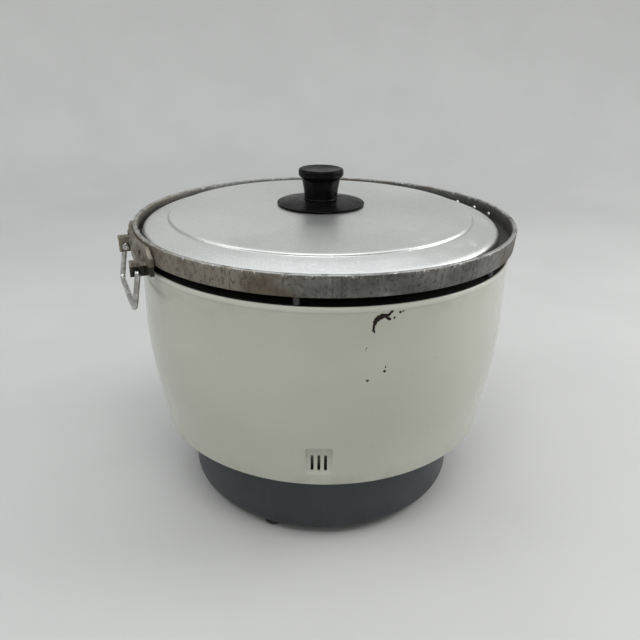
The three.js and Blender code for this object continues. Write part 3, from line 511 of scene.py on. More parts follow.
feed(tree, surface, Base_Color=burnt,
     Roughness=mixed_value(tree, patch_mask(tree, (30, 30, 30), 0.35, 0.7), 0.38, 0.7),
     Normal=bumped(tree, scratch_mask(tree, 600, 30, 0.66), 0.12))
finished(shield, tinted, "cooker_body", "sheet", "heat_shield")
finished(drip_tray, tinted, "cooker_body", "sheet", "drip_tray")

# ---------------------------------------------------------------- base pan
# Pressed steel skirt that the shell stands on, open underneath for air, in a satin blue-grey paint. Its
# lower edge turns in to a ring that takes the feet, and a window at the front lets the gas valve through.
PAN_BOTTOM = 11.6
base_pan = spun("base_pan_painted", eased([
    (150.0, PAN_BOTTOM, 0.6), (180.4, PAN_BOTTOM, 4.0), (183.4, 18.0, 5.0), (183.7, 32.0),
    (185.6, 108.0, 1.0), (184.6, 109.2, 0.8),
    (158.0, 109.2, 0.6), (158.0, 107.6, 0.6), (183.8, 107.6, 1.5), (182.1, 32.0), (181.6, 19.0, 4.0),
    (179.6, 13.2, 3.0),
    (150.0, 13.2, 0.6)], 5))
window = slab("window_cutter", rounded_box(30, 29, 3, (0, 73)), "y", -200, -150)
cut_out(base_pan, [window])
slate, tree, surface = finish("slate_paint", Specular_IOR_Level=0.35)
height = axes(tree)[2]
paint = mixed(tree, patch_mask(tree, (7, 7, 10), 0.35, 0.65, 2.0), (0.032, 0.036, 0.041),
              (0.040, 0.045, 0.051))
# Patchy darkening towards the bottom of the skirt.
pan_low_darkening = times(tree, spread(tree, height, 0.045, 0.012), patch_mask(tree, (30, 30, 18), 0.3, 0.65))
paint = laid_on(tree, paint, pan_low_darkening, 0.55, (0.020, 0.018, 0.015))
runs = times(tree, patch_mask(tree, (60, 60, 6), 0.56, 0.72), 0.18)
paint = mixed(tree, runs, paint, (0.085, 0.09, 0.095))
rubbed = scratch_mask(tree, 650, 30, 0.70)
paint = laid_on(tree, paint, rubbed, 0.3, (0.12, 0.125, 0.13))
feed(tree, surface, Base_Color=paint,
     Roughness=mixed_value(tree, patch_mask(tree, (12, 12, 12), 0.3, 0.7), 0.34, 0.5),
     Normal=bumped(tree, noise(tree, 420.0), 0.05))
finished(base_pan, slate, "cooker_body", "slate_paint", "base_pan")

# ---------------------------------------------------------------- feet
# Four moulded black rubber feet pushed into holes of the base pan's bottom ring, a quarter turn apart.


def grow_tree(name, inputs):
    """An empty geometry tree with its named inputs and one mesh output."""
    tree = bpy.data.node_groups.new(name, "GeometryNodeTree")
    for title, kind, value in (("Geometry", "Geometry", None), *inputs, ("Finish", "Material", None)):
        socket = tree.interface.new_socket(title, in_out="INPUT", socket_type="NodeSocket" + kind)
        if value is not None:
            socket.default_value = value
    tree.interface.new_socket("Geometry", in_out="OUTPUT", socket_type="NodeSocketGeometry")
    return tree, tree.nodes.new("NodeGroupInput").outputs, tree.nodes.new("NodeGroupOutput").inputs


def end_tree(tree, shape, finish_input, result):
    """Ends a tree with plain geometry in place of copies, and its material."""
    solid = node(tree, "GeometryNodeRealizeInstances", {0: shape}).outputs[0]
    dressed = node(tree, "GeometryNodeSetMaterial",
                   {"Geometry": solid, "Material": finish_input}).outputs[0]
    tree.links.new(dressed, result["Geometry"])


copies, given, result = grow_tree("ring_of_copies", [
    ("Count", "Int", 4), ("Radius", "Float", 0.1), ("First Angle", "Float", 0.0),
    ("Step Angle", "Float", 1.0),
    ("Height", "Float", 0.0), ("Piece", "Object", None)])
order = node(copies, "GeometryNodeInputIndex").outputs[0]
angle = calc(copies, "ADD", given["First Angle"], times(copies, order, given["Step Angle"]))
x = times(copies, given["Radius"], calc(copies, "COSINE", angle))
y = times(copies, given["Radius"], calc(copies, "SINE", angle))
spots = node(copies, "GeometryNodePoints", {"Count": given["Count"],
             "Position": node(copies, "ShaderNodeCombineXYZ", {0: x, 1: y, 2: given["Height"]}).outputs[0]})
facing = node(copies, "FunctionNodeEulerToRotation",
              {0: node(copies, "ShaderNodeCombineXYZ", {0: 0.0, 1: 0.0, 2: angle}).outputs[0]})
source = node(copies, "GeometryNodeObjectInfo", {"Object": given["Piece"]})
ring = node(copies, "GeometryNodeInstanceOnPoints",
            {"Points": spots.outputs[0], "Instance": source.outputs["Geometry"],
                                                      "Rotation": facing.outputs[0]})
end_tree(copies, ring.outputs[0], given["Finish"], result)


def grown(name, tree, inputs, start=None, smooth_angle=40):
    """Runs a geometry tree with its named inputs and returns the plain mesh that it makes."""
    piece = start or added(name, bpy.data.meshes.new(name))
    piece.name = name
    step = piece.modifiers.new("grow", "NODES")
    step.node_group = tree
    for item in tree.interface.items_tree:
        if item.item_type == "SOCKET" and item.in_out == "INPUT" and item.name in inputs:
            step[item.identifier] = inputs[item.name]
    settle(piece)
    shade(piece, smooth_angle)
    return piece


def ring_of(name, piece, count, radius, first, step, height, material):
    """Copies of a piece round the upright axis, each turned to face out; the pattern piece is removed."""
    made = grown(name, copies, {"Count": count, "Radius": radius * MM, "First Angle": math.radians(first),
                                "Step Angle": math.radians(step), "Height": height * MM, "Piece": piece,
                                "Finish": material})
    bpy.data.objects.remove(piece)
    return made


rubber, tree, surface = finish("black_rubber", Specular_IOR_Level=0.3)
feed(tree, surface,
     Base_Color=mixed(tree, patch_mask(tree, (60, 60, 60), 0.35, 0.7), (0.012, 0.012, 0.012),
                      (0.05, 0.047, 0.042)),
     Roughness=mixed_value(tree, patch_mask(tree, (80, 80, 80), 0.3, 0.7), 0.65, 0.9),
     Normal=bumped(tree, noise(tree, 900.0), 0.1))
foot = spun("foot_pattern", eased([
    (0, 0), (10.0, 0, 1.0), (12.0, 2.0, 1.5), (11.2, 11.2, 0.8), (2.8, 11.2, 0.3), (2.8, 13.5, 0.2),
    (4.1, 13.9, 0.5), (2.4, 17.6, 0.8),
    (0, 17.6)], 3), sides=40)
feet = ring_of("rubber_feet", foot, 4, 163.6, 45, 90, 0, rubber)
finished(feet, rubber, "cooker_body", "rubber", "foot_1", "foot_2", "foot_3", "foot_4")

# ---------------------------------------------------------------- shell screws
# Four plated pan-head screws driven from below through the base pan's flange into the shell's floor.
plated, tree, surface = finish("bright_plating", Metallic=1.0)
dulled = patch_mask(tree, (220, 220, 220), 0.45, 0.75)
feed(tree, surface,
     Base_Color=mixed(tree, dulled, (0.62, 0.61, 0.58), (0.30, 0.28, 0.25)),
     Roughness=mixed_value(tree, dulled, 0.22, 0.5),
     Normal=bumped(tree, scratch_mask(tree, 2600, 90, 0.64), 0.1, 0.0004))


def cross_recess(name, depth, z, width=1.1, reach=2.6):
    """Cutter for a cross recess that opens downwards at height z."""
    bar = slab(name, rounded_box(reach, width / 2, 0.4, steps=3), "z", z - 1, z + depth)
    cut_out(bar, [slab(name + "_arm", rounded_box(width / 2, reach, 0.4, steps=3), "z", z - 1, z + depth)],
            "UNION")
    return bar


screw = spun("screw_pattern", eased([
    (0, 104.7), (3.0, 104.8, 1.2), (4.2, 106.0, 0.8), (4.2, 107.2, 0.3), (2.0, 107.2), (2.0, 111.0, 0.4),
    (0, 111.0)], 3), sides=32)
cut_out(screw, [cross_recess("recess_cutter", 1.5, 104.7)])
shell_screws = ring_of("shell_screws", screw, 4, 171.6, 45, 90, 0, plated)
finished(shell_screws, plated, "cooker_body", "bright_steel", "shell_screw_1", "shell_screw_2",
         "shell_screw_3", "shell_screw_4")

# ---------------------------------------------------------------- burner
# Cast-iron ring burner with its mixing tube and a loose ported cap, on a bent steel bridge bolted across the
# base pan's ring. Soot and rust cover all of it.
sooted, tree, surface = finish("sooted_iron", Metallic=0.35)
rust = patch_mask(tree, (55, 55, 55), 0.48, 0.7)
feed(tree, surface,
     Base_Color=mixed(tree, rust, (0.018, 0.016, 0.015), (0.075, 0.036, 0.02)),
     Roughness=mixed_value(tree, rust, 0.62, 0.92),
     Normal=bumped(tree, noise(tree, 500.0, 5.0), 0.45))


def break_edges(piece, width, flat=1.0, sharp=40, merge=0.0):
    """Joins faces that lie flat to each other, then rounds the edges sharper than the given angle."""
    shape = bmesh.new()
    shape.from_mesh(piece.data)
    if merge:
        bmesh.ops.remove_doubles(shape, verts=shape.verts, dist=merge)
    bmesh.ops.dissolve_limit(shape, angle_limit=math.radians(flat), verts=shape.verts, edges=shape.edges)
    shape.to_mesh(piece.data)
    shape.free()
    step = piece.modifiers.new("broken_edges", "BEVEL")
    step.width = width * MM
    step.segments = 3
    step.limit_method = "ANGLE"
    step.angle_limit = math.radians(sharp)
    step.use_clamp_overlap = True
    settle(piece)
    shade(piece)


def eased_copy(name, cad_node, width):
    """A CAD piece's own shape with its edges broken, for flat or boxy pieces."""
    piece = added(name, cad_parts[cad_node].data.copy())
    break_edges(piece, width, merge=2e-6)
    return piece


bridge = eased_copy("burner_bridge_strap", "burner_bridge", 0.5)
finished(bridge, tinted, "cooker_body", "sheet", "burner_bridge")
casting = eased_copy("burner_casting_ring", "burner_casting", 0.8)
finished(casting, sooted, "cooker_body", "burner_iron", "burner_casting")
cap = spun("burner_cap_ring", eased([
    (43.0, 98.3, 0.4), (73.0, 98.3, 0.5), (73.0, 103.3, 1.5), (68.0, 106.3, 1.5), (43.0, 106.3, 1.2)], 3),
    sides=144)
port = slab("port_pattern", rounded_box(4.0, 1.3, 0.3, (72.0, 100.9), 2), "y", -0.9, 0.9)
ports = ring_of("port_cutters", port, 36, 0, 0, 10, 0, sooted)
cut_out(cap, [ports])
finished(cap, sooted, "cooker_body", "burner_iron", "burner_cap")

# ---------------------------------------------------------------- igniter pins
# Glazed ceramic spark electrode with a steel tip and a brass-bodied thermocouple, both held in the burner's
# lug beside the flame ports.
PIN_SEAT = 84.6
ceramic, tree, surface = finish("glazed_ceramic", Roughness=0.2)
height = axes(tree)[2]
smudge = patch_mask(tree, (160, 160, 160), 0.45, 0.7)
body_colour = mixed(tree, smudge, (0.70, 0.66, 0.58), (0.30, 0.26, 0.21))
feed(tree, surface, Base_Color=mixed(tree, spread(tree, height, 0.1012, 0.1018), body_colour,
                                     (0.09, 0.085, 0.08)),
     Roughness=mixed_value(tree, smudge, 0.18, 0.5))
brass, tree, surface = finish("turned_brass", Metallic=1.0)
aged = patch_mask(tree, (120, 120, 120), 0.4, 0.7)
feed(tree, surface, Base_Color=mixed(tree, aged, (0.52, 0.34, 0.12), (0.22, 0.13, 0.05)),
     Roughness=mixed_value(tree, aged, 0.25, 0.5),
     Normal=bumped(tree, scratch_mask(tree, 2400, 60, 0.65), 0.08, 0.0004))


def lug_pin(name, profile, across):
    """A turned pin in the burner's lug, which points out at 45 degrees."""
    pin = spun(name, eased(profile, 2), sides=32, centre=(80.5, across))
    return turned_about_z(pin, 45)


electrode = lug_pin("spark_electrode_pin", [
    (0, PIN_SEAT - 12), (2.9, PIN_SEAT - 12, 0.4), (2.9, PIN_SEAT), (4.4, PIN_SEAT, 0.3),
    (4.4, PIN_SEAT + 3, 0.6), (2.9, PIN_SEAT + 3),
    (2.9, PIN_SEAT + 16, 0.6), (1.0, PIN_SEAT + 17, 0.2), (1.0, PIN_SEAT + 24, 0.4), (0, PIN_SEAT + 24)],
    -7)
finished(electrode, ceramic, "cooker_body", "ceramic", "spark_electrode")
thermocouple = lug_pin("thermocouple_pin", [
    (0, PIN_SEAT - 16), (2.4, PIN_SEAT - 16, 0.4), (2.4, PIN_SEAT), (3.6, PIN_SEAT, 0.3),
    (3.6, PIN_SEAT + 4, 0.5), (2.4, PIN_SEAT + 4),
    (2.4, PIN_SEAT + 18, 0.8), (1.4, PIN_SEAT + 21, 0.8), (0, PIN_SEAT + 21)], 7)
finished(thermocouple, brass, "cooker_body", "brass", "thermocouple")

# ---------------------------------------------------------------- pot sensor
# Spring-loaded steel feeler in the middle of the burner: a capped pin slides in a flanged tube and is held up
# against the pot's bottom by a light coil spring.
sensor_tube = spun("sensor_guide_tube", eased([
    (5.2, 60.0, 0.3), (7.0, 60.0, 0.3), (7.0, 80.3), (13.0, 80.3, 0.4), (13.0, 82.1, 0.4), (7.0, 82.1, 0.4),
    (7.0, 101.0), (10.0, 101.0, 0.4),
    (10.0, 103.4, 0.5), (5.2, 103.4, 0.5)], 3), sides=48)
finished(sensor_tube, tinted, "cooker_body", "sheet", "sensor_tube")
sensor_head = spun("sensor_head_cap", eased([
    (0, 86.0), (4.7, 86.0, 0.5), (4.7, 118.7), (11.0, 118.7, 0.8), (13.0, 120.7, 1.2), (13.0, 128.2, 1.0),
    (11.5, 129.7, 0.8), (0, 129.7)], 3),
    sides=56)
finished(sensor_head, plated, "sensor", "bright_steel", "sensor_head")

wire_tree, given, result = grow_tree("round_wire", [("Radius", "Float", 0.002), ("Sides", "Int", 16)])
centre_line = node(wire_tree, "GeometryNodeMeshToCurve", {0: given["Geometry"]}).outputs[0]
section = node(wire_tree, "GeometryNodeCurvePrimitiveCircle",
               {"Resolution": given["Sides"], "Radius": given["Radius"]}).outputs[0]
tube = node(wire_tree, "GeometryNodeCurveToMesh",
            {"Curve": centre_line, "Profile Curve": section, "Fill Caps": True}).outputs[0]
end_tree(wire_tree, tube, given["Finish"], result)


def wire(name, path, radius, material, sides=20):
    """Round wire along a path of points in millimetres, its ends closed."""
    mesh = bpy.data.meshes.new(name)
    mesh.from_pydata([tuple(c * MM for c in p) for p in path], [(i, i + 1) for i in range(len(path) - 1)],
                     [])
    sizes = {"Radius": radius * MM, "Sides": sides, "Finish": material}
    made = grown(name, wire_tree, sizes, added(name, mesh), 60)
    tidy(made, 60)
    return made


SPRING = {"radius": 8.3, "wire": 0.8, "turns": 4, "low": 104.6, "high": 117.5, "steps": 192}
coil = []
for k in range(SPRING["steps"] + 1):
    t = k / SPRING["steps"]
    a = 2 * math.pi * SPRING["turns"] * t
    rise = SPRING["low"] + (SPRING["high"] - SPRING["low"]) * t
    coil.append((SPRING["radius"] * math.cos(a), SPRING["radius"] * math.sin(a), rise))
spring = wire("sensor_coil_spring", coil, SPRING["wire"], plated, 10)
finished(spring, plated, "cooker_body", "bright_steel", "sensor_spring")
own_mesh(spring)

# ---------------------------------------------------------------- gas valve and inlet
# Cast valve block between the inlet and the burner, with its push stem, a brass injector in front of the
# mixing tube, and a brass barbed nozzle for the gas hose that leaves the control box on one side.
cast_alloy, tree, surface = finish("cast_alloy_block", Metallic=0.85)
grey = patch_mask(tree, (45, 45, 45), 0.35, 0.7)
feed(tree, surface, Base_Color=mixed(tree, grey, (0.30, 0.30, 0.29), (0.15, 0.15, 0.14)),
     Roughness=mixed_value(tree, grey, 0.45, 0.65),
     Normal=bumped(tree, noise(tree, 700.0, 3.0), 0.25))
finished(eased_copy("valve_block", "valve_body", 1.2), cast_alloy, "cooker_body", "cast_aluminium",
         "valve_body")
finished(eased_copy("valve_push_stem", "valve_stem", 0.4), plated, "stem", "bright_steel", "valve_stem")
finished(eased_copy("injector_jet", "injector", 0.3), brass, "cooker_body", "brass", "injector")
HOSE = {"y": -191.0, "z": 72.0}


def laid_along_x(piece, y, z):
    piece.data.transform(Matrix.Translation((0, y * MM, z * MM)) @ Matrix.Rotation(math.radians(90), 4,
        "Y"))
    return piece


def laid_along_y(piece, x, y, z):
    piece.data.transform(Matrix.Translation((x * MM, y * MM, z * MM)) @ Matrix.Rotation(math.radians(-90),
        4, "X"))
    return piece


barbs = [corner for x in (66, 73, 80) for corner in ((6.6, x, 0.3), (5.2, x + 5, 0.3))]
nozzle = laid_along_x(spun("hose_nozzle_barbed", eased([
    (0, 18.3), (6.0, 18.3, 0.4), (6.0, 58.4), (9.5, 58.4, 0.5), (9.5, 63.0, 0.8), (5.2, 63.0, 0.3), *barbs,
    (5.2, 89.0, 0.3), (4.4, 90.0, 0.3),
    (3.0, 90.0, 0.2), (3.0, 34.0), (0, 34.0)], 2), sides=48), HOSE["y"], HOSE["z"])
finished(nozzle, brass, "cooker_body", "brass", "hose_nozzle")

# ---------------------------------------------------------------- control box
# Folded and welded steel box at the foot of the front, painted with the base. Its front carries the cooking
# lever's slot and the ignition button, and two cross-head screws hold it to the base pan.
finished(eased_copy("control_box_painted", "control_box", 0.9), slate, "cooker_body", "slate_paint",
         "control_box")
BOX_FRONT = -226.0
for number, x in ((1, -46.0), (2, 46.0)):
    screw = spun(f"box_screw_{number}_head", eased([
        (0, 0), (2.6, 0, 0.8), (3.8, 1.0, 0.6), (3.8, 2.2, 0.2), (1.8, 2.2), (1.8, 12.0, 0.3), (0, 12.0)],
        3), sides=32)
    cut_out(screw, [cross_recess(f"recess_cutter_{number}", 1.2, 0.0, 0.9, 2.2)])
    finished(laid_along_y(screw, x, BOX_FRONT - 2.5, 27.0), plated, "cooker_body", "bright_steel",
             f"box_screw_{number}")

# ---------------------------------------------------------------- cooking lever
# Black phenolic lever on a steel pin. Pressed down it opens the valve through the push stem and stays down
# until the sensor trips it.
phenolic, tree, surface = finish("black_phenolic", Specular_IOR_Level=0.08)
worn = patch_mask(tree, (38, 38, 38), 0.42, 0.72)
hair = scratch_mask(tree, 1500, 60, 0.665)
coat = mixed(tree, worn, (0.0016, 0.0017, 0.0017), (0.004, 0.004, 0.0037))
dusty = patch_mask(tree, (420, 420, 420), 0.64, 0.72, 2.0)
coat = laid_on(tree, coat, dusty, 0.25, (0.05, 0.049, 0.045))
feed(tree, surface, Base_Color=laid_on(tree, coat, hair, 0.15, (0.05, 0.05, 0.05)),
     Roughness=mixed_value(tree, worn, 0.27, 0.46),
     Normal=bumped(tree, noise(tree, 260.0), 0.03))
finished(eased_copy("cook_lever_paddle", "cook_lever", 0.9), phenolic, "lever", "bakelite", "cook_lever")
finished(eased_copy("lever_pivot_pin", "lever_pin", 0.4), plated, "cooker_body", "bright_steel",
         "lever_pin")

# ---------------------------------------------------------------- ignition
# Red moulded push button in the box's front, held in by its own flange, and the black piezo striker that
# lies behind it in line with it.
BUTTON = {"x": -38.0, "z": 78.0}
red, tree, surface = finish("red_moulding", Coat_Weight=0.3)
faded = patch_mask(tree, (110, 110, 110), 0.35, 0.7)
feed(tree, surface, Base_Color=mixed(tree, faded, (0.33, 0.022, 0.016), (0.24, 0.030, 0.022)),
     Roughness=mixed_value(tree, faded, 0.25, 0.42),
     Normal=bumped(tree, scratch_mask(tree, 2200, 70, 0.66), 0.06, 0.0004))
button = spun("spark_push_button", eased([
    (0, 0.5), (3.5, 0.2, 1.0), (5.6, 0, 0.8), (7.0, 1.4, 1.0), (7.0, 9.2), (8.6, 9.2, 0.3),
    (8.6, 11.0, 0.3), (6.0, 11.0), (6.0, 17.0, 0.5),
    (0, 17.0)], 3), sides=48)
finished(laid_along_y(button, BUTTON["x"], BOX_FRONT - 6.4, BUTTON["z"]), red, "button", "red_plastic",
         "spark_button")
moulding, tree, surface = finish("matt_black_moulding")
chalky = patch_mask(tree, (90, 90, 90), 0.35, 0.7)
feed(tree, surface, Base_Color=mixed(tree, chalky, (0.016, 0.016, 0.016), (0.03, 0.03, 0.029)),
     Roughness=mixed_value(tree, chalky, 0.5, 0.7))
striker = spun("piezo_striker", eased([(0, 18.0), (7.4, 18.0, 0.8), (7.4, 39.0, 0.8), (0, 39.0)], 3),
               sides=40)
finished(laid_along_y(striker, BUTTON["x"], BOX_FRONT, BUTTON["z"]), moulding, "cooker_body",
         "black_plastic", "igniter")

# ---------------------------------------------------------------- pot
# Aluminium cooking pot: a thick cast rim ring with a ledge for the lid, six cast pegs under it that stand on
# the shell's lip and leave the exhaust gap, and a spun bowl. The ring is weathered brown-grey with streaks
# and its top edge is worn bright.
RIM_TOP = 370.0
RIM_RADIUS = 240.0
RIM_INSIDE = 234.2
LEDGE = 351.5
RIM_BOTTOM = 345.3
BOWL_INSIDE = 202.6
BOWL_OUTSIDE = 206.0
BOWL_FLOOR = 133.4
POT_BOTTOM = 130.0
BOWL_CORNER = 52.0


def bend(start, corner, end, steps):
    """Points of a smooth bend from start to end, pulled towards the corner."""
    a, b, c = Vector(start), Vector(corner), Vector(end)
    shares = [k / steps for k in range(steps + 1)]
    return [((1 - t) ** 2 * a + 2 * t * (1 - t) * b + t**2 * c)[:] for t in shares]


pot_profile = [
    (0, BOWL_FLOOR), (60, BOWL_FLOOR), (110, BOWL_FLOOR),
    *bend((BOWL_INSIDE - BOWL_CORNER, BOWL_FLOOR), (BOWL_INSIDE - 2, BOWL_FLOOR),
          (BOWL_INSIDE - 0.6, BOWL_FLOOR + BOWL_CORNER), 16),
    (BOWL_INSIDE - 0.3, 240.0), (BOWL_INSIDE, 300.0),
    *bend((BOWL_INSIDE, LEDGE - 5), (BOWL_INSIDE, LEDGE), (BOWL_INSIDE + 5, LEDGE), 6),
    (220.0, LEDGE), (RIM_INSIDE - 2.4, LEDGE), (RIM_INSIDE - 0.7, LEDGE + 0.5), (RIM_INSIDE, LEDGE + 2.4),
    (RIM_INSIDE + 0.1, 360.0), (RIM_INSIDE + 0.2, RIM_TOP - 1.8), (RIM_INSIDE + 0.7, RIM_TOP - 0.7),
    (RIM_INSIDE + 1.8, RIM_TOP - 0.1),
    (RIM_INSIDE + 3.0, RIM_TOP), (RIM_RADIUS - 1.7, RIM_TOP - 0.1), (RIM_RADIUS - 0.6, RIM_TOP - 0.7),
    (RIM_RADIUS - 0.1, RIM_TOP - 1.9),
    (RIM_RADIUS - 0.5, 362.0), (RIM_RADIUS - 1.1, 354.0), (RIM_RADIUS - 1.7, RIM_BOTTOM + 2.0),
    (RIM_RADIUS - 2.1, RIM_BOTTOM + 0.8),
    (RIM_RADIUS - 3.2, RIM_BOTTOM + 0.1), (RIM_RADIUS - 4.5, RIM_BOTTOM), (225.0, RIM_BOTTOM),
    *bend((BOWL_OUTSIDE + 5, RIM_BOTTOM), (BOWL_OUTSIDE, RIM_BOTTOM), (BOWL_OUTSIDE, RIM_BOTTOM - 5), 5),
    (BOWL_OUTSIDE - 0.3, 260.0),
    *bend((BOWL_OUTSIDE - 0.6, BOWL_FLOOR + BOWL_CORNER), (BOWL_OUTSIDE - 2, POT_BOTTOM),
          (BOWL_INSIDE - BOWL_CORNER, POT_BOTTOM), 16),
    (100, POT_BOTTOM), (0, POT_BOTTOM),
]
pot = spun("pot_with_rim", pot_profile, sides=288, smooth_angle=50)
peg = spun("peg_pattern", eased([(0, 334.9), (3.85, 334.9, 0.7), (3.85, 345.2, 0.2), (0, 345.2)], 3),
           sides=32)
cast_ring, tree, surface = finish("weathered_cast_aluminium")
spot = axes(tree)
height = spot[2]
radius = from_axis(tree)
clean = mixed(tree, patch_mask(tree, (24, 24, 30), 0.3, 0.7), (0.215, 0.214, 0.202), (0.105, 0.104, 0.097))
# Painted light: the ring's +X side, towards the left window lamp, is painted lighter and warmer.
clean = laid_on(tree, clean, spread(tree, spot[0], 0.09, 0.19), 0.7, (0.300, 0.265, 0.205))
streaks = calc(tree, "MAXIMUM", patch_mask(tree, (330, 330, 45), 0.50, 0.70, 5.0),
               patch_mask(tree, (260, 260, 190), 0.50, 0.66, 5.0))
clean = laid_on(tree, clean, streaks, 0.62, (0.040, 0.037, 0.033))
brown = times(tree, patch_mask(tree, (11, 11, 14), 0.47, 0.60), 0.75)
clean = mixed(tree, brown, clean, (0.125, 0.095, 0.066))
pale = times(tree, patch_mask(tree, (95, 95, 60), 0.60, 0.74), 0.55)
clean = mixed(tree, pale, clean, (0.34, 0.335, 0.32))
top_edge = times(tree, spread(tree, height, 0.3686, 0.3698), patch_mask(tree, (60, 60, 60), 0.30, 0.55))
nicks = times(tree, spread(tree, height, 0.3650, 0.3692), patch_mask(tree, (240, 240, 240), 0.58, 0.66))
worn_edge = calc(tree, "MAXIMUM", times(tree, top_edge, 0.6), nicks)
clean = mixed(tree, worn_edge, clean, (0.60, 0.60, 0.58))
# Painted shade: the rim's inner face and the ledge under the lid are painted dark.
inner = times(tree, spread(tree, radius, 0.2348, 0.2342), spread(tree, height, 0.3690, 0.3655))
clean = laid_on(tree, clean, inner, 0.72, (0.062, 0.065, 0.065))
bowl = times(tree, spread(tree, radius, 0.2075, 0.2045), spread(tree, height, 0.350, 0.346))
clean = mixed(tree, bowl, clean, mixed(tree, patch_mask(tree, (16, 16, 16), 0.35, 0.7), (0.42, 0.42, 0.41),
                                       (0.27, 0.265, 0.25)))
under = times(tree, spread(tree, height, 0.3458, 0.3446), spread(tree, radius, 0.2035, 0.2062))
under = times(tree, under, spread(tree, radius, 0.2312, 0.2285))
clean = mixed(tree, under, clean, mixed(tree, patch_mask(tree, (30, 30, 12), 0.4, 0.7),
                                        (0.012, 0.011, 0.010), (0.045, 0.035, 0.026)))
rough = mixed_value(tree, patch_mask(tree, (40, 40, 40), 0.3, 0.7), 0.46, 0.66)
rough = mixed_value(tree, worn_edge, rough, 0.3)
rough = mixed_value(tree, bowl, rough, 0.36)
rough = mixed_value(tree, under, rough, 0.85)
pitted = node(tree, "ShaderNodeTexNoise", {"Vector": place(tree, (1, 1, 0.45)), "Scale": 430.0,
                                           "Detail": 5.0, "Roughness": 0.65}).outputs[0]
relief = bumped(tree, pitted, mixed_value(tree, bowl, 0.34, 0.04))
relief = bumped(tree, nicks, 0.5, 0.0006, relief)
feed(tree, surface, Base_Color=clean, Roughness=rough, Metallic=mixed_value(tree, under, 0.82, 0.1),
     Normal=relief)
finished(pot, cast_ring, "pot", "cast_aluminium", "inner_pot", "pot_rim")
pegs = ring_of("rim_pegs", peg, 6, 229.0, 0, 60, 0, cast_ring)
finished(pegs, cast_ring, "pot", "cast_aluminium", *[f"rim_peg_{n}" for n in range(1, 7)])

# ---------------------------------------------------------------- handle brackets
# A cast bracket on each side of the rim, bent to its curve and riveted on. At each end an ear stands out: an
# upright web bored for the bail, under a short flange that stops the bail when it is lifted.
HINGE = {"x": 246.7, "z": 337.6, "leg": 56.4}
PLATE = {"inside": 240.3, "outside": 244.6, "top": 366.3, "bottom": 335.0, "end": 68.5, "cut_y": 59.5,
         "cut_z": 354.3}
EAR = {"inner": 47.3, "web": 4.0, "outer": 59.2, "tip": 254.4, "top": 349.5, "bottom": 331.3}
RIVET_Z = 357.0
RIVET_SPREAD = 9.25
bracket_alloy, tree, surface = finish("weathered_bracket_alloy", Metallic=0.75)
stain = patch_mask(tree, (60, 60, 45), 0.35, 0.65)
skin = mixed(tree, stain, (0.275, 0.250, 0.200), (0.130, 0.112, 0.086))
skin = laid_on(tree, skin, patch_mask(tree, (180, 180, 120), 0.58, 0.72), 0.6, (0.34, 0.32, 0.29))
skin = laid_on(tree, skin, patch_mask(tree, (35, 35, 35), 0.56, 0.72), 0.6, (0.045, 0.036, 0.028))
spot = axes(tree)
reach = calc(tree, "ABSOLUTE", spot[0])
# Painted highlight: the outer ends of the ears are painted a lighter tan.
skin = laid_on(tree, skin, spread(tree, reach, 0.2520, 0.2540), 0.5, (0.36, 0.32, 0.25))
# Painted shade: everything outside the webs and below the flanges is painted near black, for the shade in the
# ears' hollows.
web_side = spread(tree, calc(tree, "ABSOLUTE", spot[1]), 0.0503, 0.0512)
recess = times(tree, web_side, spread(tree, spot[2], 0.3461, 0.3452))
skin = laid_on(tree, skin, recess, 0.85, (0.016, 0.014, 0.012))
feed(tree, surface, Base_Color=skin, Roughness=mixed_value(tree, stain, 0.42, 0.62),
     Normal=bumped(tree, noise(tree, 480.0, 4.0), 0.3))


def ear_box(name, low_y, high_y, low_z, high_z):
    outline = [(230.0, low_z), (EAR["tip"], low_z), (EAR["tip"], high_z), (230.0, high_z)]
    return slab(name, outline, "y", low_y, high_y)


def rod_y(name, radius, x, z, low, high, sides=48):
    turns = np.linspace(0, 2 * math.pi, sides, endpoint=False)
    return slab(name, [(x + radius * math.cos(a), z + radius * math.sin(a)) for a in turns], "y", low, high)


def bracket(name, side):
    low, high, end = PLATE["bottom"], PLATE["top"], PLATE["end"]
    face = [(-end, low), (end, low), (end, PLATE["cut_z"]), (PLATE["cut_y"], high), (-PLATE["cut_y"], high),
            (-end, PLATE["cut_z"])]
    piece = spun(name, [(232.0, low), (PLATE["outside"], low), (PLATE["outside"], high), (232.0, high)],
                 360)
    cut_out(piece, [slab("face_cutter", face, "x", 200, 260)], "INTERSECT")
    ears = []
    for s in (-1, 1):
        ears.append(ear_box("web", *sorted((s * EAR["inner"], s * (EAR["inner"] + EAR["web"]))),
                            EAR["bottom"], EAR["top"]))
        ears.append(ear_box("flange", *sorted((s * EAR["inner"], s * EAR["outer"])),
                            EAR["top"] - EAR["web"], EAR["top"]))
    cut_out(piece, ears, "UNION")
    rim = spun("rim_cutter", [(0, 300), (PLATE["inside"], 300), (PLATE["inside"], 400), (0, 400)], 360)
    cut_out(piece, [rim, rod_y("bail_bore", 3.8, HINGE["x"], HINGE["z"], -80, 80)])
    break_edges(piece, 0.9, flat=0.4, sharp=35)
    return turned_about_z(piece, side)


finished(bracket("bracket_right_cast", 0), bracket_alloy, "pot", "bracket_alloy", "bracket_right")
finished(bracket("bracket_left_cast", 180), bracket_alloy, "pot", "bracket_alloy", "bracket_left")

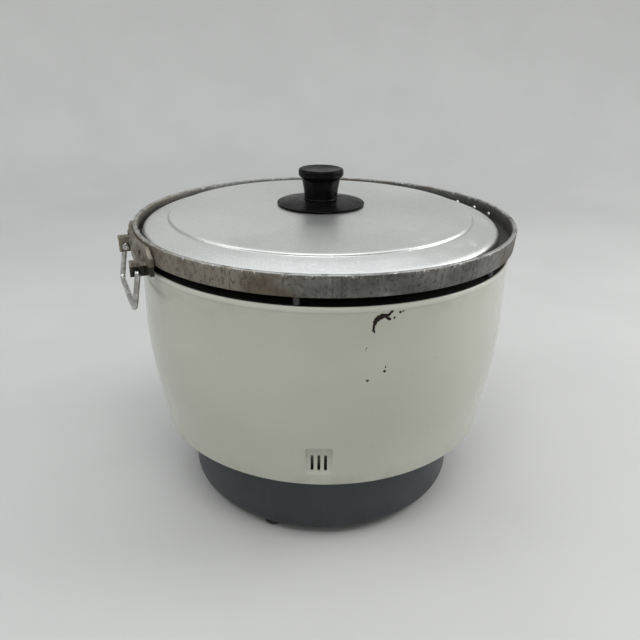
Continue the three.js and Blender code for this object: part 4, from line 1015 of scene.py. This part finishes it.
# ---------------------------------------------------------------- rivets
# Three solid rivets through each bracket and the rim, with low domed heads outside and small bright upset
# heads inside the ring.
riveted, tree, surface = finish("rivet_aluminium", Metallic=0.9)
reach = calc(tree, "ABSOLUTE", axes(tree)[0])
outside = spread(tree, reach, 0.2380, 0.2400)
tarnish = mixed(tree, patch_mask(tree, (260, 260, 260), 0.4, 0.7), (0.20, 0.175, 0.14),
                (0.085, 0.072, 0.058))
feed(tree, surface, Base_Color=mixed(tree, outside, (0.66, 0.66, 0.64), tarnish),
     Roughness=mixed_value(tree, outside, 0.25, 0.5))
for side, numbers in ((0, (1, 2, 3)), (180, (4, 5, 6))):
    rivet = spun("rivet_pattern", eased([
        (0, 231.9), (2.2, 232.1, 1.2), (3.9, 233.3, 0.4), (2.4, 233.4), (2.4, 244.7), (4.5, 244.8, 0.3),
        (3.2, 246.6, 1.4), (0, 246.9)], 4), sides=32)
    rivet.data.transform(Matrix.Rotation(math.radians(90), 4, "Y"))
    row = ring_of(f"rivets_at_{side}", rivet, 3, 0, side - RIVET_SPREAD, RIVET_SPREAD, RIVET_Z, riveted)
    finished(row, riveted, "pot", "bright_steel", *[f"rivet_{n}" for n in numbers])

# ---------------------------------------------------------------- bails
# Bent steel wire handles. The ends turn inwards through the ears' webs and are headed over, so each bail
# hangs free below its bracket and lifts until it meets the flanges.
BAIL = {"radius": 3.28, "lean": 10.0, "drop": 43.5, "corner": 10.0, "shoulder": 5.0}
drawn, tree, surface = finish("drawn_steel_wire", Metallic=1.0)
dull = patch_mask(tree, (90, 90, 90), 0.38, 0.7)
feed(tree, surface, Base_Color=mixed(tree, dull, (0.60, 0.60, 0.59), (0.30, 0.29, 0.27)),
     Roughness=mixed_value(tree, dull, 0.16, 0.32),
     Normal=bumped(tree, scratch_mask(tree, 1900, 80, 0.645), 0.12, 0.0004))


def bail_path():
    """Centre line of a bail, from one headed end to the other."""
    lean = math.radians(BAIL["lean"])
    y, s, c, drop = HINGE["leg"], BAIL["shoulder"], BAIL["corner"], BAIL["drop"]
    end = EAR["inner"] - 2
    flat = [(-end, 0), *bend((-y + s, 0), (-y, 0), (-y, s), 10),
            *bend((-y, drop - c), (-y, drop), (-y + c, drop), 18)]
    flat += [(-a, b) for a, b in flat[::-1]]
    dense = []
    for (a0, b0), (a1, b1) in zip(flat, flat[1:]):
        steps = max(1, round(math.hypot(a1 - a0, b1 - b0) / 4))
        dense += [(a0 + (a1 - a0) * k / steps, b0 + (b1 - b0) * k / steps) for k in range(steps)]
    dense.append(flat[-1])
    return [(HINGE["x"] + d * math.sin(lean), a, HINGE["z"] - d * math.cos(lean)) for a, d in dense]


for name, side, body in (("bail_right", 0, "right_bail"), ("bail_left", 180, "left_bail")):
    bail = wire(name + "_wire", bail_path(), BAIL["radius"], drawn, 24)
    heads = []
    for s in (-1, 1):
        head = spun("end_head", eased([(0, 44.6), (3.2, 44.8, 1.4), (4.5, 45.8, 0.6), (4.5, 46.9, 0.3),
                                       (0, 46.9)], 4), 32)
        head.data.transform(Matrix.Translation((HINGE["x"] * MM, 0,
                                                HINGE["z"] * MM)) @ Matrix.Rotation(math.radians(-90 * s),
                                                    4, "X"))
        heads.append(head)
    cut_out(bail, heads, "UNION", 60)
    finished(turned_about_z(bail, side), drawn, body, "wire_steel", name)

# ---------------------------------------------------------------- lid
# Spun aluminium lid lying loose, and a little off centre, on the rim's ledge: a shallow dome, a rolled step,
# a sloping border and a turned-down edge. Satin, with turning marks and many fine scratches.
LID_SHIFT = (4.7, -2.7)
LID_CROWN = 382.2
LID_STEP = 190.0
LID_RISE = 7.2
LID_RADIUS = 224.6
LID_SHEET = 1.5


def dome(r):
    return LID_CROWN - LID_RISE * (r / LID_STEP) ** 2


lid_top = [
    *[(r, dome(r)) for r in (3.4, 30, 55, 80, 105, 130, 150, 168, 180)],
    *bend((188.2, dome(188.2)), (190.6, dome(190.6)), (191.2, 373.8), 6),
    *bend((191.6, 372.9), (192.2, 371.5), (195.0, 371.3), 6),
    (204.0, 369.2), (211.0, 367.0),
    *bend((217.0, 365.1), (LID_RADIUS - 1.2, 363.2), (LID_RADIUS, 358.6), 9),
]
lid_back = [(r if r < 200 else max(r - LID_SHEET * (r - 200) / 24.6, 0), z - LID_SHEET) for r,
            z in lid_top[:-1]][::-1]
lid_profile = [*lid_top, (LID_RADIUS, 352.4), (LID_RADIUS - 0.4, 351.8), (LID_RADIUS - LID_SHEET, 351.8),
               (LID_RADIUS - LID_SHEET, 357.4), *lid_back]
lid = spun("lid_spun", lid_profile, sides=288, centre=LID_SHIFT, smooth_angle=55)
satin, tree, surface = finish("satin_spun_aluminium", Metallic=1.0)
radius = from_axis(tree, (-LID_SHIFT[0] * MM, -LID_SHIFT[1] * MM, 0))
turning = node(tree, "ShaderNodeTexNoise", {"Vector": node(tree, "ShaderNodeCombineXYZ",
                                                           {0: radius, 1: 0.0, 2: 0.0}).outputs[0],
                                            "Scale": 700.0, "Detail": 3.0}).outputs[0]
cloudy = patch_mask(tree, (7, 7, 7), 0.3, 0.7, 3.0)
metal = mixed(tree, cloudy, (0.780, 0.784, 0.752), (0.830, 0.833, 0.802))
metal = mixed(tree, spread(tree, turning, 0.35, 0.7, 0.0, 0.18), metal, (0.70, 0.705, 0.69))
marks = scratch_mask(tree, 560, 24, 0.64)
metal = laid_on(tree, metal, marks, 0.75, (0.97, 0.97, 0.95))
stains = times(tree, patch_mask(tree, (26, 26, 26), 0.60, 0.75), 0.28)
metal = mixed(tree, stains, metal, (0.52, 0.51, 0.47))
# Painted shade: a dark ring is painted in the crease at the foot of the step.
step_painted_shade = times(tree, spread(tree, radius, 0.1905, 0.1915), spread(tree, radius, 0.1945, 0.1925))
metal = laid_on(tree, metal, step_painted_shade, 0.4, (0.22, 0.22, 0.21))
# Patchy darkening towards the lid's turned-down edge.
lid_edge_darkening = times(tree, spread(tree, radius, 0.2195, 0.2245), patch_mask(tree, (50, 50, 50), 0.25, 0.6))
metal = laid_on(tree, metal, lid_edge_darkening, 0.35, (0.35, 0.34, 0.31))
rough = mixed_value(tree, cloudy, 0.36, 0.43)
rough = calc(tree, "ADD", rough, times(tree, stains, 0.5))
rough = calc(tree, "SUBTRACT", rough, times(tree, marks, 0.08))
relief = bumped(tree, turning, 0.05, 0.0006)
relief = bumped(tree, marks, 0.10, 0.0004, relief)
dents = noise(tree, 9.0, 1.0)
relief = bumped(tree, dents, 0.09, 0.01, relief)
feed(tree, surface, Base_Color=metal, Roughness=rough, Normal=relief)
finished(lid, satin, "lid_group", "lid_aluminium", "lid")

# ---------------------------------------------------------------- knob
# Moulded black phenolic knob with a shallow dished top, on a wide conical skirt that keeps the hand off the
# hot lid; one screw with a washer comes up through the lid and holds all three together.
skirt = spun("knob_skirt_disc", eased([
    (3.4, 382.5), (24.0, 382.5, 0.5), (54.0, 382.9, 0.6), (55.8, 383.7, 0.5), (55.7, 384.4, 0.5),
    (40.0, 386.4, 4.0), (24.0, 387.9, 1.0),
    (22.8, 388.1, 0.5), (3.4, 388.1)], 4), sides=144, centre=LID_SHIFT)
finished(skirt, phenolic, "lid_group", "bakelite", "knob_skirt")
KNOB_TOP = 427.0
knob = spun("knob_turned", eased([
    (0, KNOB_TOP - 1.7), (14.0, KNOB_TOP - 1.5, 4.0), (22.0, KNOB_TOP - 0.7, 2.0), (25.6, KNOB_TOP, 1.2),
    (27.6, KNOB_TOP - 0.9, 1.0),
    (28.4, KNOB_TOP - 2.8, 1.2), (28.5, KNOB_TOP - 7.6, 1.5), (27.4, KNOB_TOP - 9.6, 1.6),
    (24.6, KNOB_TOP - 12.6, 2.6),
    (23.3, KNOB_TOP - 17.5, 4.0), (21.6, KNOB_TOP - 28.0, 4.0), (20.8, 390.4, 1.5), (21.6, 389.6, 0.5),
    (21.6, 388.5, 0.4), (3.1, 388.5), (3.1, 402.5),
    (0, 402.5)], 5), sides=96, centre=LID_SHIFT)
finished(knob, phenolic, "lid_group", "bakelite", "knob")
washer = spun("knob_washer_disc", eased([(3.3, 379.2, 0.2), (9.0, 379.2, 0.3), (9.0, 380.4, 0.3),
                                         (3.3, 380.4, 0.2)], 2), sides=48, centre=LID_SHIFT)
finished(washer, plated, "lid_group", "bright_steel", "knob_washer")
lid_screw = spun("knob_screw_pan", eased([
    (0, 375.9), (3.6, 375.9, 1.2), (5.6, 377.3, 1.0), (5.6, 378.9, 0.3), (2.6, 378.9), (2.6, 400.4, 0.5),
    (0, 400.4)], 3), sides=40)
cut_out(lid_screw, [cross_recess("lid_recess_cutter", 1.6, 375.9, 1.2, 3.0)])
lid_screw.data.transform(Matrix.Translation((LID_SHIFT[0] * MM, LID_SHIFT[1] * MM, 0)))
finished(lid_screw, plated, "lid_group", "bright_steel", "knob_screw")

# ---------------------------------------------------------------- floor, light and camera
# A pale round studio sweep of one turned sheet, three soft rectangular lights with an even pale sky, and
# the camera, which is placed in metres and degrees.
STAGE = {"flat": 2600.0, "bend": 900.0, "top": 3000.0}
sweep = [(0, 0), (STAGE["flat"] - STAGE["bend"], 0),
         *bend((STAGE["flat"] - STAGE["bend"] + 1, 0), (STAGE["flat"], 0), (STAGE["flat"], STAGE["bend"]),
               16), (STAGE["flat"], STAGE["top"])]
sweep_back = [(r + 40, z if z > 40 else -40) for r, z in sweep[::-1][:-1]]
floor = spun("studio_sweep", [*sweep, *sweep_back, (0, -40)], sides=128)
pale, tree, surface = finish("pale_studio", Roughness=0.7)
feed(tree, surface, Base_Color=mixed(tree, patch_mask(tree, (3, 3, 3), 0.3, 0.7, 2.0),
                                     (0.565, 0.564, 0.550), (0.59, 0.589, 0.574)))
floor.data.materials.append(pale)

world = bpy.data.worlds.new("soft_room")
bpy.context.scene.world = world
world.use_nodes = True
world.node_tree.nodes["Background"].inputs["Color"].default_value = (0.93, 0.96, 1.0, 1)
world.node_tree.nodes["Background"].inputs["Strength"].default_value = 1.02


def soft_light(name, place_m, aim_m, size, power, colour=(1, 1, 1)):
    lamp = bpy.data.lights.new(name, "AREA")
    lamp.shape = "RECTANGLE"
    lamp.size, lamp.size_y = size
    lamp.energy = power
    lamp.color = colour
    holder = added(name, lamp)
    holder.location = place_m
    holder.rotation_euler = (Vector(aim_m) - Vector(place_m)).to_track_quat("-Z", "Y").to_euler()


soft_light("ceiling", (0.45, 0.95, 2.4), (0, 0, 0.2), (1.3, 0.5), 14)
soft_light("left_window", (1.9, -0.3, 1.7), (0, 0, 0.25), (1.2, 1.2), 9, (0.97, 0.99, 1.0))
soft_light("right_fill", (-1.9, 0.6, 1.3), (0, 0, 0.25), (1.2, 1.2), 20)

EYE = (0.3167, 0.7319, 0.5694)
HEADING, PITCH, ROLL = 156.91, 23.76, 0.76
camera = bpy.data.cameras.new("camera")
camera.lens = 35.24
camera.sensor_width = 36.0
seat = added("camera", camera)
turn = Euler((math.radians(90 - PITCH), 0, math.radians(HEADING))).to_matrix()
turn = turn @ Matrix.Rotation(math.radians(ROLL), 3, "Z")
seat.matrix_world = Matrix.Translation(EYE) @ turn.to_4x4()
bpy.context.scene.camera = seat
bpy.context.scene.view_settings.view_transform = "Standard"
